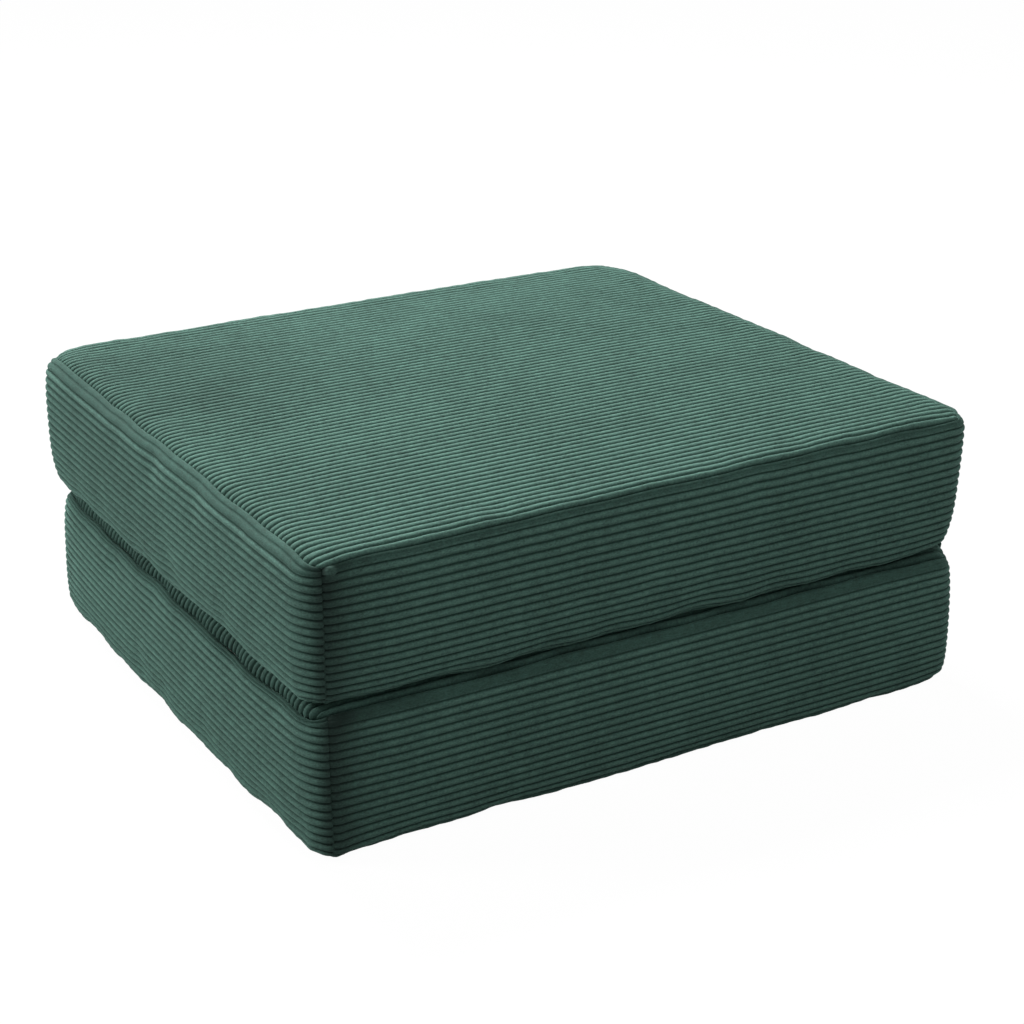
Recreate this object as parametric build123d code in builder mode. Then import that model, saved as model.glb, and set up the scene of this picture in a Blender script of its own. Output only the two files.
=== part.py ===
from build123d import *
from math import cos, radians, sin
import os

# Fold out ottoman guest bed, folded shut, in millimetres.
# X runs along the long sides, -Y is the front, +Z is up. The origin lies on the floor under
# the middle of the folded ottoman. The fold is on the +X side, the zips are on the +Y side.

# Folded ottoman
section_length = 1000.0
section_width = 900.0
ottoman_height = 400.0
section_gap = 0.3

# Cushion form: how the cover is drawn in, rolled and crowned. A corner seam's turn is its angle
# round the corner, away from straight out of the front or the back.
fabric_thickness = 2.5
foam_slack = 0.3
side_draw = 4.0
panel_inset = 2.5
panel_lap = 2.0
edge_roll = 11.0
corner_softness = 26.5
crown_height = 5.0
floor_cut = 0.5
seam_groove = 1.4
left_front_seam_turn = 25.0
right_front_seam_turn = 65.0
back_seam_turn = 45.0
cut_overrun = 30.0

# Height up a boxing strip against how far it is drawn in, as shares of its height and side_draw
boxing_shares = (
    (0.0, 1.0), (0.02, 0.62), (0.06, 0.4), (0.18, 0.15), (0.36, 0.0),
    (0.64, 0.0), (0.82, 0.15), (0.94, 0.4), (0.98, 0.62), (1.0, 1.0),
)
# The panel's lap over the side, from its seam: share of panel_lap against share of the draw
lap_shares = ((0.0, 1.0), (0.4, 0.3), (1.0, 0.0))
roll_angles = (22.5, 45, 67.5, 90)
# The foam is cut with fewer faces than its cover
foam_boxing_shares = ((0.0, 1.0), (0.06, 0.4), (0.36, 0.0), (0.64, 0.0), (0.94, 0.4), (1.0, 1.0))
foam_roll_angles = (45, 90)

# Fold: a fabric strip stitched to both sections, and the line that they turn about
fold_offset = 1.5
hinge_strip_setback = 45.0
hinge_strip_hem = 4.0
hinge_strip_thickness = 1.5
hinge_strip_bulge = 3.0
hinge_strip_clearance = 0.3

# Zip in the back of each cover
zip_opening = 10.0
zip_end_tab = 10.0
tape_width = 16.0
tape_thickness = 0.6
teeth_gap = 2.4
teeth_width = 2.0
teeth_height = 1.9
teeth_edge = 0.5
stop_length = 2.6
stop_rise = 0.2
slider_clearance = 0.3
slider_length = 12.0
slider_width = 9.0
slider_plate = 1.2
slider_corner = 0.9
neck_length = 3.4
neck_corner_share = 0.9
bridge_width = 1.8
bridge_bar = 1.0
bridge_leg = 1.2
bridge_reach = 0.9
pull_length = 28.0
pull_width = 7.5
pull_neck = 5.2
pull_thickness = 1.2
pull_window_length = 5.0
pull_hole = 3.2
pull_hole_edge = 3.0

# Half outline of the slider's plates, as shares of half its length and half its width
slider_shares = ((-1.0, 0.5), (-0.72, 1.0), (0.2, 1.0), (1.0, 0.78))

section_height = (ottoman_height - section_gap) / 2
fold_height = ottoman_height / 2
panel_drop = panel_lap + edge_roll
corner_radius = panel_inset + edge_roll + corner_softness
half_length = section_length / 2
half_width = section_width / 2
straight_half_length = half_length - corner_radius
straight_half_width = half_width - corner_radius

os.makedirs("parts", exist_ok=True)


def keep(piece, name):
    """Label a finished piece and write it as its own file."""
    piece.part.label = name
    export_step(piece.part, f"parts/{name}.step")


def panel_levels(face, up, skin, angles=roll_angles):
    """Height and inset of a panel's outlines, from its seam over the rolled edge to its flat.

    face is the height of the panel's flat, up is 1 or -1, and skin is the depth below the
    cover's outside: zero for the outside itself.
    """
    seam = face - up * panel_drop
    levels = []
    for lap_share, draw_share in lap_shares:
        inset = panel_inset + draw_share * (side_draw - panel_inset) + skin
        levels.append((seam + up * lap_share * panel_lap, inset))
    for angle in angles:
        turn = radians(angle)
        rise = panel_lap + (edge_roll - skin) * sin(turn)
        inset = panel_inset + edge_roll - (edge_roll - skin) * cos(turn)
        levels.append((seam + up * rise, inset))
    return levels


def crown_form(flat, rise):
    """The crown on a panel's flat: where two long shallow arches, one along each axis, overlap."""
    edge = panel_inset + edge_roll + corner_softness / 2
    foot = flat - fabric_thickness
    with BuildPart() as form:
        for plane, half_span, half_depth, mode in (
            (Plane.XZ, half_length - edge, half_width - edge, Mode.ADD),
            (Plane.YZ, half_width - edge, half_length - edge, Mode.INTERSECT),
        ):
            with BuildSketch(plane):
                with BuildLine():
                    ThreePointArc((-half_span, flat), (0, flat + rise), (half_span, flat))
                    Polyline(
                        (half_span, flat), (half_span, foot), (-half_span, foot), (-half_span, flat)
                    )
                make_face()
            extrude(amount=half_depth, both=True, mode=mode)
    return form


def boxing_levels(low, high, skin, shares=boxing_shares):
    """Height and inset of the boxing's outlines from its low seam to its high seam."""
    return [
        (low + rise_share * (high - low), draw_share * side_draw + skin)
        for rise_share, draw_share in shares
    ]


def boxing_draw(past_seam, boxing_height):
    """How far a boxing is drawn in at a distance past its seam, by the runs of its table."""
    rise_share = past_seam / boxing_height
    for (low_share, low_draw), (high_share, high_draw) in zip(boxing_shares, boxing_shares[1:]):
        if rise_share <= high_share:
            part = (rise_share - low_share) / (high_share - low_share)
            return side_draw * (low_draw + part * (high_draw - low_draw))
    return side_draw * boxing_shares[-1][1]


def outlines(levels):
    """Rounded rectangles at each level, for a loft through them."""
    sketches = []
    for height, inset in levels:
        length, width = section_length - 2 * inset, section_width - 2 * inset
        with BuildSketch(Plane.XY.offset(height)) as outline:
            RectangleRounded(length, width, corner_radius - inset)
        sketches.append(outline.sketch)
    return sketches


def cover_panel(face, up, crown=0):
    """One panel: a thin tray whose rolled rim ends at the seam, cut flat where it meets the floor."""
    with BuildPart() as panel:
        loft(outlines(panel_levels(face, up, 0)), ruled=True)
        if crown:
            add(crown_form(face, crown).part)
        hollow = outlines(panel_levels(face, up, fabric_thickness))
        loft(hollow, ruled=True, mode=Mode.SUBTRACT)
        if crown:
            add(crown_form(face - fabric_thickness, crown).part, mode=Mode.SUBTRACT)
        if face < 0:
            split(bisect_by=Plane.XY, keep=Keep.TOP)
    return panel


def seam_turn(x_side, y_side):
    """Angle of a corner seam round its corner, from straight out of the front or the back."""
    front_seam_turn = left_front_seam_turn if x_side < 0 else right_front_seam_turn
    return radians(front_seam_turn if y_side < 0 else back_seam_turn)


def seam_point(x_side, y_side, reach):
    """Plan point on the line of a corner seam, a reach away from the middle of the corner's round."""
    turn = seam_turn(x_side, y_side)
    return (
        x_side * (straight_half_length + reach * sin(turn)),
        y_side * (straight_half_width + reach * cos(turn)),
    )


def side_sector(side):
    """Corner points of the plan sector that one side's boxing strip fills, between two seams."""
    past_cover = corner_radius + cut_overrun
    out_x, out_y = half_length + cut_overrun, half_width + cut_overrun
    if side in ("front", "back"):
        y_side = -1 if side == "front" else 1
        left_out, right_out = seam_point(-1, y_side, past_cover), seam_point(1, y_side, past_cover)
        return (
            seam_point(-1, y_side, 0), left_out, (left_out[0], y_side * out_y),
            (right_out[0], y_side * out_y), right_out, seam_point(1, y_side, 0),
        )
    x_side = -1 if side == "left" else 1
    front_out, back_out = seam_point(x_side, -1, past_cover), seam_point(x_side, 1, past_cover)
    return (
        seam_point(x_side, -1, 0), front_out, (x_side * out_x, front_out[1]),
        (x_side * out_x, back_out[1]), back_out, seam_point(x_side, 1, 0),
    )


def corner_groove(low, high, x_side, y_side):
    """Outlines of the shallow groove that runs down one corner seam, for a loft."""
    sketches = []
    for height, inset in boxing_levels(low, high, 0):
        with BuildSketch(Plane.XY.offset(height)) as groove:
            with Locations(seam_point(x_side, y_side, corner_radius - inset)):
                RegularPolygon(seam_groove, 4)
        sketches.append(groove.sketch)
    return sketches


def boxing_ring(low, high):
    """All four sides of the cover between its two seams, bulged and grooved at the corner seams."""
    with BuildPart() as ring:
        loft(outlines(boxing_levels(low, high, 0)), ruled=True)
        loft(outlines(boxing_levels(low, high, fabric_thickness)), ruled=True, mode=Mode.SUBTRACT)
        for x_side, y_side in ((-1, -1), (1, -1), (1, 1), (-1, 1)):
            groove = corner_groove(low, high, x_side, y_side)
            loft(groove, ruled=True, mode=Mode.SUBTRACT)
    return ring


def boxing_strip(ring, side, low, high):
    """The part of the ring on one side, from corner seam to corner seam, between two heights."""
    with BuildPart() as strip:
        add(ring.part)
        with BuildSketch(Plane.XY.offset(low)):
            Polygon(*side_sector(side), align=None)
        extrude(amount=high - low, mode=Mode.INTERSECT)
    return strip


def zip_end_tabs(ring, low, high):
    """The two short pieces of boxing that close the zip's gap between its ends and the corners."""
    with BuildPart() as tabs:
        add(boxing_strip(ring, "back", low, high).part)
        with BuildSketch(Plane.XY.offset(low)):
            Rectangle(2 * zip_half_length, section_width + cut_overrun)
        extrude(amount=high - low, mode=Mode.SUBTRACT)
    return tabs


def zip_plane(depth, height, along=0):
    """Plane facing out of the back, depth outside the fullest line of the back face."""
    return Plane(origin=(along, half_width + depth, height), x_dir=(1, 0, 0), z_dir=(0, 1, 0))


# Where the zip's pieces lie, measured outwards from the fullest line of the back face
tape_front = -fabric_thickness
tape_back = tape_front - tape_thickness
teeth_front = tape_front + teeth_height
plate_low = teeth_front + slider_clearance
plate_high = plate_low + slider_plate
inner_plate_high = tape_back - slider_clearance
inner_plate_low = inner_plate_high - slider_plate
pin_radius = pull_thickness / 2
pin_depth = plate_high + slider_clearance + pin_radius
bridge_low = pin_depth + pin_radius + slider_clearance
bridge_high = bridge_low + bridge_bar
teeth_outer = teeth_gap / 2 + teeth_width
zip_half_length = straight_half_length - zip_end_tab
teeth_half_length = zip_half_length - stop_length
slider_centre = -teeth_half_length + slider_clearance + slider_length / 2
slider_travel = 2 * (teeth_half_length - slider_clearance) - slider_length


def foam_core(base, top, crown, zip_height):
    """The foam block: it fills the cover, with a channel in its back for the zip's inner side."""
    skin = fabric_thickness + foam_slack
    seam_low, seam_high = base + panel_drop, top - panel_drop
    base_levels = panel_levels(base, -1, skin, foam_roll_angles)[::-1]
    middle_levels = boxing_levels(seam_low, seam_high, skin, foam_boxing_shares)[1:-1]
    top_levels = panel_levels(top, 1, skin, foam_roll_angles)
    with BuildPart() as core:
        loft(outlines(base_levels + middle_levels + top_levels), ruled=True)
        if crown:
            add(crown_form(top - skin, crown).part)
        with BuildSketch(zip_plane(tape_back - foam_slack, zip_height)):
            Rectangle(2 * (straight_half_length + foam_slack), 2 * (tape_width + foam_slack))
        extrude(amount=cut_overrun, mode=Mode.SUBTRACT)
        with BuildSketch(zip_plane(inner_plate_low - foam_slack, zip_height)):
            Rectangle(2 * (zip_half_length + foam_slack), slider_width + 2 * foam_slack)
        extrude(amount=cut_overrun, mode=Mode.SUBTRACT)
    return core


def zip_tapes(height):
    """The two woven tapes, sewn behind the edges of the back strips."""
    offset = (teeth_gap / 2 + tape_width) / 2
    with BuildPart() as tapes:
        with BuildSketch(zip_plane(tape_back, height)):
            with Locations((0, offset), (0, -offset)):
                Rectangle(2 * straight_half_length, tape_width - teeth_gap / 2)
        extrude(amount=tape_thickness)
    return tapes


def zip_teeth(height):
    """The two rows of the closed chain, one along the edge of each tape."""
    offset = (teeth_gap + teeth_width) / 2
    with BuildPart() as teeth:
        with BuildSketch(zip_plane(tape_front, height)):
            with Locations((0, offset), (0, -offset)):
                Rectangle(2 * teeth_half_length, teeth_width)
        extrude(amount=teeth_height)
        outer_edges = teeth.edges().filter_by(Axis.X).group_by(Axis.Y)[-1]
        chamfer(outer_edges, length=teeth_edge)
    return teeth


def zip_stops(height):
    """Two top stops, one on each tape, and one bottom stop across both."""
    centre = teeth_half_length + stop_length / 2
    offset = (teeth_gap + teeth_width) / 2
    with BuildPart() as stops:
        with BuildSketch(zip_plane(tape_front, height)):
            with Locations((-centre, offset), (-centre, -offset)):
                Rectangle(stop_length, teeth_width)
            with Locations((centre, 0)):
                Rectangle(stop_length, teeth_gap + 2 * teeth_width)
        extrude(amount=teeth_height + stop_rise)
        outer_edges = stops.edges().filter_by(Axis.X).group_by(Axis.Y)[-1]
        chamfer(outer_edges, length=teeth_edge)
    return stops


def zip_slider(height):
    """The slider: two plates joined by a neck, side flanges round the teeth, and a bridge."""
    upper_half = [(x * slider_length / 2, y * slider_width / 2) for x, y in slider_shares]
    lower_half = [(x, -y) for x, y in reversed(upper_half)]
    flange_inside = teeth_outer + slider_clearance
    neck_half = teeth_gap / 2 - slider_clearance
    neck_middle = (neck_length - slider_length) / 2
    leg_centre = pin_radius + bridge_reach + bridge_leg / 2
    bridge_half = leg_centre + bridge_leg / 2
    with BuildPart() as slider:
        for depth in (inner_plate_low, plate_low):
            with BuildSketch(zip_plane(depth, height, slider_centre)) as plate:
                Polygon(*upper_half, *lower_half, align=None)
                fillet(plate.vertices(), slider_corner)
            extrude(amount=slider_plate)
        with BuildSketch(zip_plane(inner_plate_high, height, slider_centre)):
            with Locations((neck_middle, 0)):
                RectangleRounded(neck_length, 2 * neck_half, neck_half * neck_corner_share)
        extrude(amount=plate_low - inner_plate_high)
        with BuildSketch(zip_plane(tape_front + slider_clearance, height, slider_centre)) as flanges:
            Polygon(*upper_half, *lower_half, align=None)
            fillet(flanges.vertices(), slider_corner)
            Rectangle(slider_length, 2 * flange_inside, mode=Mode.SUBTRACT)
        extrude(amount=plate_low - tape_front - slider_clearance)
        with BuildSketch(zip_plane(plate_high, height, slider_centre)):
            Rectangle(2 * bridge_half, bridge_width)
        extrude(amount=bridge_high - plate_high)
        with BuildSketch(zip_plane(plate_high, height, slider_centre)):
            Rectangle(2 * (leg_centre - bridge_leg / 2), bridge_width)
        extrude(amount=bridge_low - plate_high, mode=Mode.SUBTRACT)
        bridge_ends = slider.edges().filter_by(Axis.Z).group_by(Axis.Y)[-1]
        fillet(bridge_ends, bridge_bar / 2)
    return slider


def zip_pull(height):
    """The pull: a tab with two arms and a pin that turns under the slider's bridge."""
    window_width = bridge_width + 2 * slider_clearance
    window_centre = pin_radius + pull_window_length / 2
    neck_end = pin_radius + pull_window_length + pull_thickness
    tab_end = pull_length - pull_width / 2
    with BuildPart() as pull:
        with BuildSketch(zip_plane(pin_depth - pin_radius, height, slider_centre)):
            with BuildLine():
                Polyline(
                    (0, -pull_neck / 2), (neck_end, -pull_neck / 2), (tab_end, -pull_width / 2)
                )
                ThreePointArc(
                    (tab_end, -pull_width / 2), (pull_length, 0), (tab_end, pull_width / 2)
                )
                Polyline(
                    (tab_end, pull_width / 2), (neck_end, pull_neck / 2),
                    (0, pull_neck / 2), (0, -pull_neck / 2),
                )
            make_face()
            with Locations((window_centre, 0)):
                Rectangle(pull_window_length, window_width, mode=Mode.SUBTRACT)
            with Locations((pull_length - pull_hole_edge - pull_hole / 2, 0)):
                Circle(pull_hole / 2, mode=Mode.SUBTRACT)
        extrude(amount=pull_thickness)
        pin_end = height - pull_neck / 2
        with BuildSketch(Plane.XY.offset(pin_end)):
            with Locations((slider_centre, half_width + pin_depth)):
                Circle(pin_radius)
        extrude(amount=pull_neck)
    return pull


def build_section(name, base, top, crown, outer_is_top):
    """Make and write every piece of one section: foam, cover panels, boxing strips and zip."""
    seam_low, seam_high = base + panel_drop, top - panel_drop
    zip_height = (seam_low + seam_high) / 2
    zip_low, zip_high = zip_height - zip_opening / 2, zip_height + zip_opening / 2
    low_name, high_name = ("inner", "outer") if outer_is_top else ("outer", "inner")
    keep(foam_core(base, top, crown, zip_height), f"{name}_foam_core")
    keep(cover_panel(base, -1), f"{name}_{low_name}_panel")
    keep(cover_panel(top, 1, crown), f"{name}_{high_name}_panel")
    ring = boxing_ring(seam_low, seam_high)
    for side in ("front", "left", "right"):
        keep(boxing_strip(ring, side, seam_low, seam_high), f"{name}_{side}_boxing")
    keep(boxing_strip(ring, "back", zip_high, seam_high), f"{name}_back_boxing_above_zip")
    keep(boxing_strip(ring, "back", seam_low, zip_low), f"{name}_back_boxing_below_zip")
    keep(zip_end_tabs(ring, zip_low, zip_high), f"{name}_zip_end_tabs")
    keep(zip_tapes(zip_height), f"{name}_zip_tapes")
    keep(zip_teeth(zip_height), f"{name}_zip_teeth")
    keep(zip_stops(zip_height), f"{name}_zip_stops")
    keep(zip_slider(zip_height), f"{name}_zip_slider")
    keep(zip_pull(zip_height), f"{name}_zip_pull")
    return zip_height


# Lower section: cut flat on the floor, with its sleeping face up
lower_zip = build_section("lower", -floor_cut, section_height, 0, False)

# Upper section: sleeping face down on the lower one, with its crowned outer face up
upper_base, upper_top = ottoman_height - section_height, ottoman_height - crown_height
upper_zip = build_section("upper", upper_base, upper_top, crown_height, True)

# Hinge strip: a band across the gap between the two sections, hemmed past the seam on each side
strip_half_height = panel_drop + hinge_strip_hem
upper_boxing_height = upper_top - upper_base - 2 * panel_drop
strip_inside = half_length - boxing_draw(hinge_strip_hem, upper_boxing_height)
strip_inside += hinge_strip_clearance
strip_low = fold_height - strip_half_height
strip_high = fold_height + strip_half_height
with BuildPart() as hinge_strip:
    with BuildSketch(Plane.XZ):
        with BuildLine():
            ThreePointArc(
                (strip_inside, strip_low),
                (strip_inside + hinge_strip_bulge, fold_height),
                (strip_inside, strip_high),
            )
            Line((strip_inside, strip_high), (strip_inside + hinge_strip_thickness, strip_high))
            ThreePointArc(
                (strip_inside + hinge_strip_thickness, strip_high),
                (strip_inside + hinge_strip_bulge + hinge_strip_thickness, fold_height),
                (strip_inside + hinge_strip_thickness, strip_low),
            )
            Line((strip_inside + hinge_strip_thickness, strip_low), (strip_inside, strip_low))
        make_face()
    extrude(amount=half_width - hinge_strip_setback, both=True)
keep(hinge_strip, "hinge_strip")

print("fold line at x", half_length + fold_offset, "z", fold_height)
print("zip slider travel", slider_travel, "from x", slider_centre)
print("zip heights", lower_zip, upper_zip, "pin at y", half_width + pin_depth)
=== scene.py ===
"""Fold out ottoman guest bed: two foam sections in wide-wale corduroy covers, one on the other.

Everything is in metres, in the frame of the CAD: +X runs along the long sides towards the fold,
-Y is out of the front and +Z is up. Each piece of the covers is a surface of two parameters.
"""

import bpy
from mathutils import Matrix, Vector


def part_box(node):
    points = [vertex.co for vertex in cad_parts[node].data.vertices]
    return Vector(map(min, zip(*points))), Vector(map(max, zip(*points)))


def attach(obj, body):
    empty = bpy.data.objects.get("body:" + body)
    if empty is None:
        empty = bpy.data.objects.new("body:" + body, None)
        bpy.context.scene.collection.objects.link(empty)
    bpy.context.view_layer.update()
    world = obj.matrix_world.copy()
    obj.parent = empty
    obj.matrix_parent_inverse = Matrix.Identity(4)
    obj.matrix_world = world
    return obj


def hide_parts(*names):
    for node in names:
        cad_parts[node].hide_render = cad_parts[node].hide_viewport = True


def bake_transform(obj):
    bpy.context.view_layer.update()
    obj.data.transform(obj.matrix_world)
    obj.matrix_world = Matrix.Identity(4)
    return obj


bl_info = {
    "name": "Fold Out Ottoman Guest Bed",
    "version": (1, 0, 0),
    "blender": (4, 5, 0),
    "location": "View3D > Sidebar > Guest Bed",
    "description": "Builds the corduroy covers, foam, zips, hinge strip and studio of a guest bed",
    "category": "Add Mesh",
}

import bpy
import numpy as np
from mathutils import Euler

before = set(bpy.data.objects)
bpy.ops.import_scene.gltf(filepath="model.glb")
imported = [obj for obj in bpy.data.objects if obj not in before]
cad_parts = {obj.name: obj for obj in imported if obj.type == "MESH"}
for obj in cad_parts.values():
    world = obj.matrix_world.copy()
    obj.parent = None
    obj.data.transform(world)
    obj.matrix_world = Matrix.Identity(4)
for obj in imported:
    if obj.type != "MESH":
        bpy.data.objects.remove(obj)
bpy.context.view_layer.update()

SECTIONS = ("lower", "upper")
# The panel on top of each section and the one under it
PANEL_NAMES = {"lower": ("inner", "outer"), "upper": ("outer", "inner")}
# The least length to divide by, and how often the length of a panel's row is found anew
TINY, HALF_ROW_ROUNDS = 1e-9, 40
# How far the corners of a section have slumped: its bottom and top, each with the front's left
# and right and the back's left and right
SLUMP = {
    "lower": np.array([[[(0.004, -0.0005, 0), (0.0005, -0.0050, 0)], [(0.0084, 0, 0), (0, 0, 0)]],
                       [[(0.003, 0, -0.0018), (-0.001, 0, -0.001)],
                        [(0.0152, 0, 0), (0, 0, 0)]]]),
    "upper": np.array([[[(0.001, 0, 0), (-0.011, 0, 0)], [(0.0015, 0, 0), (0, 0, 0)]],
                       [[(0.001, 0, -0.003), (0.0035, 0, 0.004)],
                        [(0.0008, 0, 0.0085), (0, 0, 0.0065)]]]),
}
# How much of the soft front left corner there is at a section's bottom, middle and top
SOFTNESS = {"lower": (-0.3, 0.8, 0.9), "upper": (1.05, 1.0, 0.05)}
# Height of the waves of the seams at the bottom and the top of each section
WAVES = {"lower": {-1: 0.0018, 1: 0.0012}, "upper": {-1: 0.0026, 1: 0.0008}}
# How much higher the seams lie than the edge's roll takes them
LIFTS = {"lower": {-1: 0.0015, 1: -0.0048}, "upper": {-1: 0.0006, 1: 0.0}}
# How far the corners give way, up or down and inwards, in the order of the slumped corners
GIVE = {
    "lower": np.array([[[(0.0010, 0), (0.0055, 0.0045)], [(0.0032, 0.0020), (0.0032, 0.0032)]],
                       [[(0.0030, 0), (0.0055, 0.0030)], [(0.0045, 0.0045), (0.0065, 0.0065)]]]),
    "upper": np.array([[[(0.0020, 0), (0.0065, 0.0065)], [(0.0065, 0.0065), (0.0065, 0.0065)]],
                       [[(0.0065, 0), (0.0030, 0)], [(0.0065, 0.0055), (0.0065, 0.0065)]]]),
}
# How far the ottoman's top seam and the other seams stray in and out, and how far the seams between
# the sections are drawn in
TOP_STRAY, STRAY, BETWEEN_DRAWN = 0.0007, 0.0018, 0.0022
# The seams' waves in and out, and up and down: their counts and first seed
STRAY_WAVES, LIFT_WAVES = ((11, 19, 31), 31), ((9, 17, 29), 41)
# How far from a corner its give reaches, how far along the front the corner's straight run ends
# and how wide the ear is
GIVE_REACH, FRONT_RUN, EAR_WIDTH = 0.045, 0.08, 0.022
# How far along X a direction points that belongs to an end, how much less a side bulges at its
# corners, and the least that the cloth faces the corner's straight run
END_FACING, BULGE_LOSS, LEAST_FACING = 0.5, 0.35, 0.2
# Phase at which the flat floor of a valley ends, the least gap from a grid's first and last row
# to the next one, the power of a wale's section, and the phases of the rows across a wale
VALLEY, ROW_GAP, WALE_POWER = 0.11, 0.03, 0.55
WALE_STEPS = np.array([VALLEY, 0.15, 0.26, 0.41, 0.59, 0.74, 0.85, 1 - VALLEY])
# How far a piece's border is carried inwards, and how much of that also goes past the seam
TUCK, TUCK_LEAN = 0.008, 0.6
# Where the fold side's cloth is pressed flat, and how far out its highest wales then reach: the
# fold's axis lies a little further out, so the two sections meet without cutting into each other
FOLD_PRESSED, FOLD_REACH = 0.4975, 0.5012
# Over what distance the cloth dips into a panel's seam and into an upright one
STITCH_WIDTH, CORNER_STITCH_WIDTH = 0.003, 0.0055
# Columns of a panel in its middle and in each end, and the share of half a row that is an end
MIDDLE_COLUMNS, END_COLUMNS, END_SHARE = 108, 25, 0.1
# How far past the straight middle a panel's wales have bent down. There they are higher by a share
# within a width from the seam, darker by painted shade by a share within another, and they dip
# within a third
END_REACH, END_HIGHER, END_PAINTED_SHADE, END_DIP = 0.02, (0.25, 0.012), (0.5, 0.008), 0.007
# Puckers beside a panel's seam: the counts of their waves, seed and width, and their height
PANEL_PUCKERS, PANEL_PUCKER = ((61, 97, 143), 7, 0.014), 0.0008
# How dull gathered cloth is, how much painted shade darkens the rim of an inner panel, where the
# two sections meet, and its width, and the share of a wale's height that the lowest cloth keeps
# above the floor
GATHERED_DULL, RIM_PAINTED_SHADE, FLOOR_ROOM = 0.45, (0.7, 0.03), 0.2
# The smooth cap of gathered cloth at the front left corner: where it is, in shares of the corner's
# radius, its radius and height, how far from the stitches it rises and how flat its wales are
CAP_PLACE, CAP_RADIUS, CAP_HEIGHT, CAP_RISE, CAP_FLAT = (0.45, 0.8), 0.009, 0.0022, 0.002, 0.95
# Steps along a strip near its corners and between them, and how many fine steps wide the window
# is that finds what is near
FINE_STEP, COARSE_STEP, NEAR_STEPS = 0.0022, 0.009, 19
# Least distance from a strip's edges and from the cover's foot to the outermost level wales
EDGE_ROOM, FOOT_ROOM = 0.001, 0.004
# Where above the first clear valley the band starts to be pressed and where it is pressed fully,
# and how flat the wales are at the lower seam
PRESS_START, PRESS_END, SEAM_FLAT = 0.001, 0.004, 0.5
# Puckers beside a strip's long seams: the counts of their waves, seed and width, and their height
STRIP_PUCKERS = {"high": ((83, 131, 197), 3, 0.016), "low": ((79, 127, 181), 4, 0.012)}
STRIP_PUCKER = 0.0009
# The puff at the top of the upper front left seam: how far it is from that seam and below the
# panel's, its radius and its height
PUFF_PLACE, PUFF_RADIUS, PUFF_HEIGHT = (0.0100, 0.0078), 0.0080, 0.0030
# How flat and dull the puff's wales are, and how much of the painted shade beside the seam it
# clears
PUFF_FLAT, PUFF_DULL, PUFF_CLEAR = 0.9, 0.3, 0.35
# The well round the puff: its width and height, which also bound the painted shade in it, and its
# depth
WELL_SIZE, WELL_DEPTH = (0.017, 0.013), 0.0022
# Painted shade beside the front left seam: strengths and widths, how much less it is from the top
# to mid-height, then height, width and strength of the painted shadow under the overhang, and how
# dark it may get
LEFT_PAINTED_SHADE, FRONT_PAINTED_SHADES = (0.66, 0.017), ((0.62, 0.033), (0.16, 0.10))
PAINTED_SHADE_FALL, OVERHANG_SHADOW, DARKEST_PAINTED_SHADE = 0.12, (0.03, 0.11, 0.3), 0.78
# How much deeper the lower section's pressed bands are, twice over on its front and back, and how
# hollow they are, how much painted shade darkens them and how flat they are, there and on the left
# and right
LOWER_DEEPER, FRONT_BAND, LEFT_BAND = 0.0025, (0.0016, 0.85, 0.8), (0.0010, 0.86, 0.5)
# How much deeper the left and right strips' pressed bands are than the front's, how much wider
# their wales and how many times more gathered
LEFT_DEEPER, LEFT_WIDER, LEFT_GATHER = 0.0015, 0.0005, 1.3
# Half height of the slot for the zip, length of a zip's stop and how deep its end tabs are sewn
ZIP_OPENING, ZIP_STOP, TAB_SUNK = 0.005, 0.0026, 0.0045
# Coarse cover for the simulation and the foam: size of its cells and rings from seam to seam
CAGE_STEP, CAGE_RINGS = 0.018, 13
# How long the covers settle, and the most that their sides and panels then move
SETTLE_FRAMES, SIDE_MOVE, PANEL_MOVE = 18, 0.003, 0.0018
# How often the movement is smoothed, how many points apart the held stitches lie, from the first
# number to below the second, and how firmly mid-height and the middles of the panels are held
SMOOTHINGS, HELD_APART, MIDDLE_HELD, PANEL_HELD = 3, (4, 9), 0.5, 0.6
# The simulated cloth: stout, pressed out from inside and pinned by the group of held points
CLOTH_VALUES = {"quality": 5, "mass": 0.25, "tension_stiffness": 18, "compression_stiffness": 18,
                "shear_stiffness": 6, "bending_stiffness": 1.5, "use_pressure": True,
                "uniform_pressure_force": 2.5, "vertex_group_mass": "held", "pin_stiffness": 1.0}
# How deep the foam lies under the cover and under its seams, and its channel behind the zip
FOAM_DEPTH, FOAM_SEAM_DEPTH, CHANNEL_HALF, CHANNEL_DEPTH = 0.0125, 0.020, 0.022, 0.006
# The hinge strip: its columns, how deep its edges are sewn, and its bulge and waves
HINGE_COLUMNS, HINGE_SUNK, HINGE_BULGE, HINGE_WAVE = 110, 0.0030, 0.0024, 0.0006
# The pitch of its wales as a share of the panels', how far from its edges they start and are full,
# and how thick its cloth is
HINGE_PITCH, HINGE_EDGE, HINGE_CLOTH = 0.98, (0.002, 0.006), 0.0015
# A tape: half the gap to the other one, its steps along X and its outline in shares of its size
TAPE_GAP, TAPE_STEPS = 0.0012, 93
TAPE_OUTLINE = np.array([(0, 0.2), (0, 0.9), (0.02, 1), (0.98, 1), (1, 0.9), (1, 0.2), (0.98, 0),
                         (0.02, 0), (0, 0.2)])
# A tooth of the chain: distance to the next, half its length along X and where its root is
TOOTH_PITCH, TOOTH_HALF, TOOTH_ROOT = 0.0024, 0.00085, 0.0011
# How long its neck and its nose are, and the sizes of its root, neck, nose and tip
TOOTH_NECK, TOOTH_NOSE, TOOTH_SIZES = 0.0004, 0.0005, np.array([0.62, 1.0, 0.95, 0.55])
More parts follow.
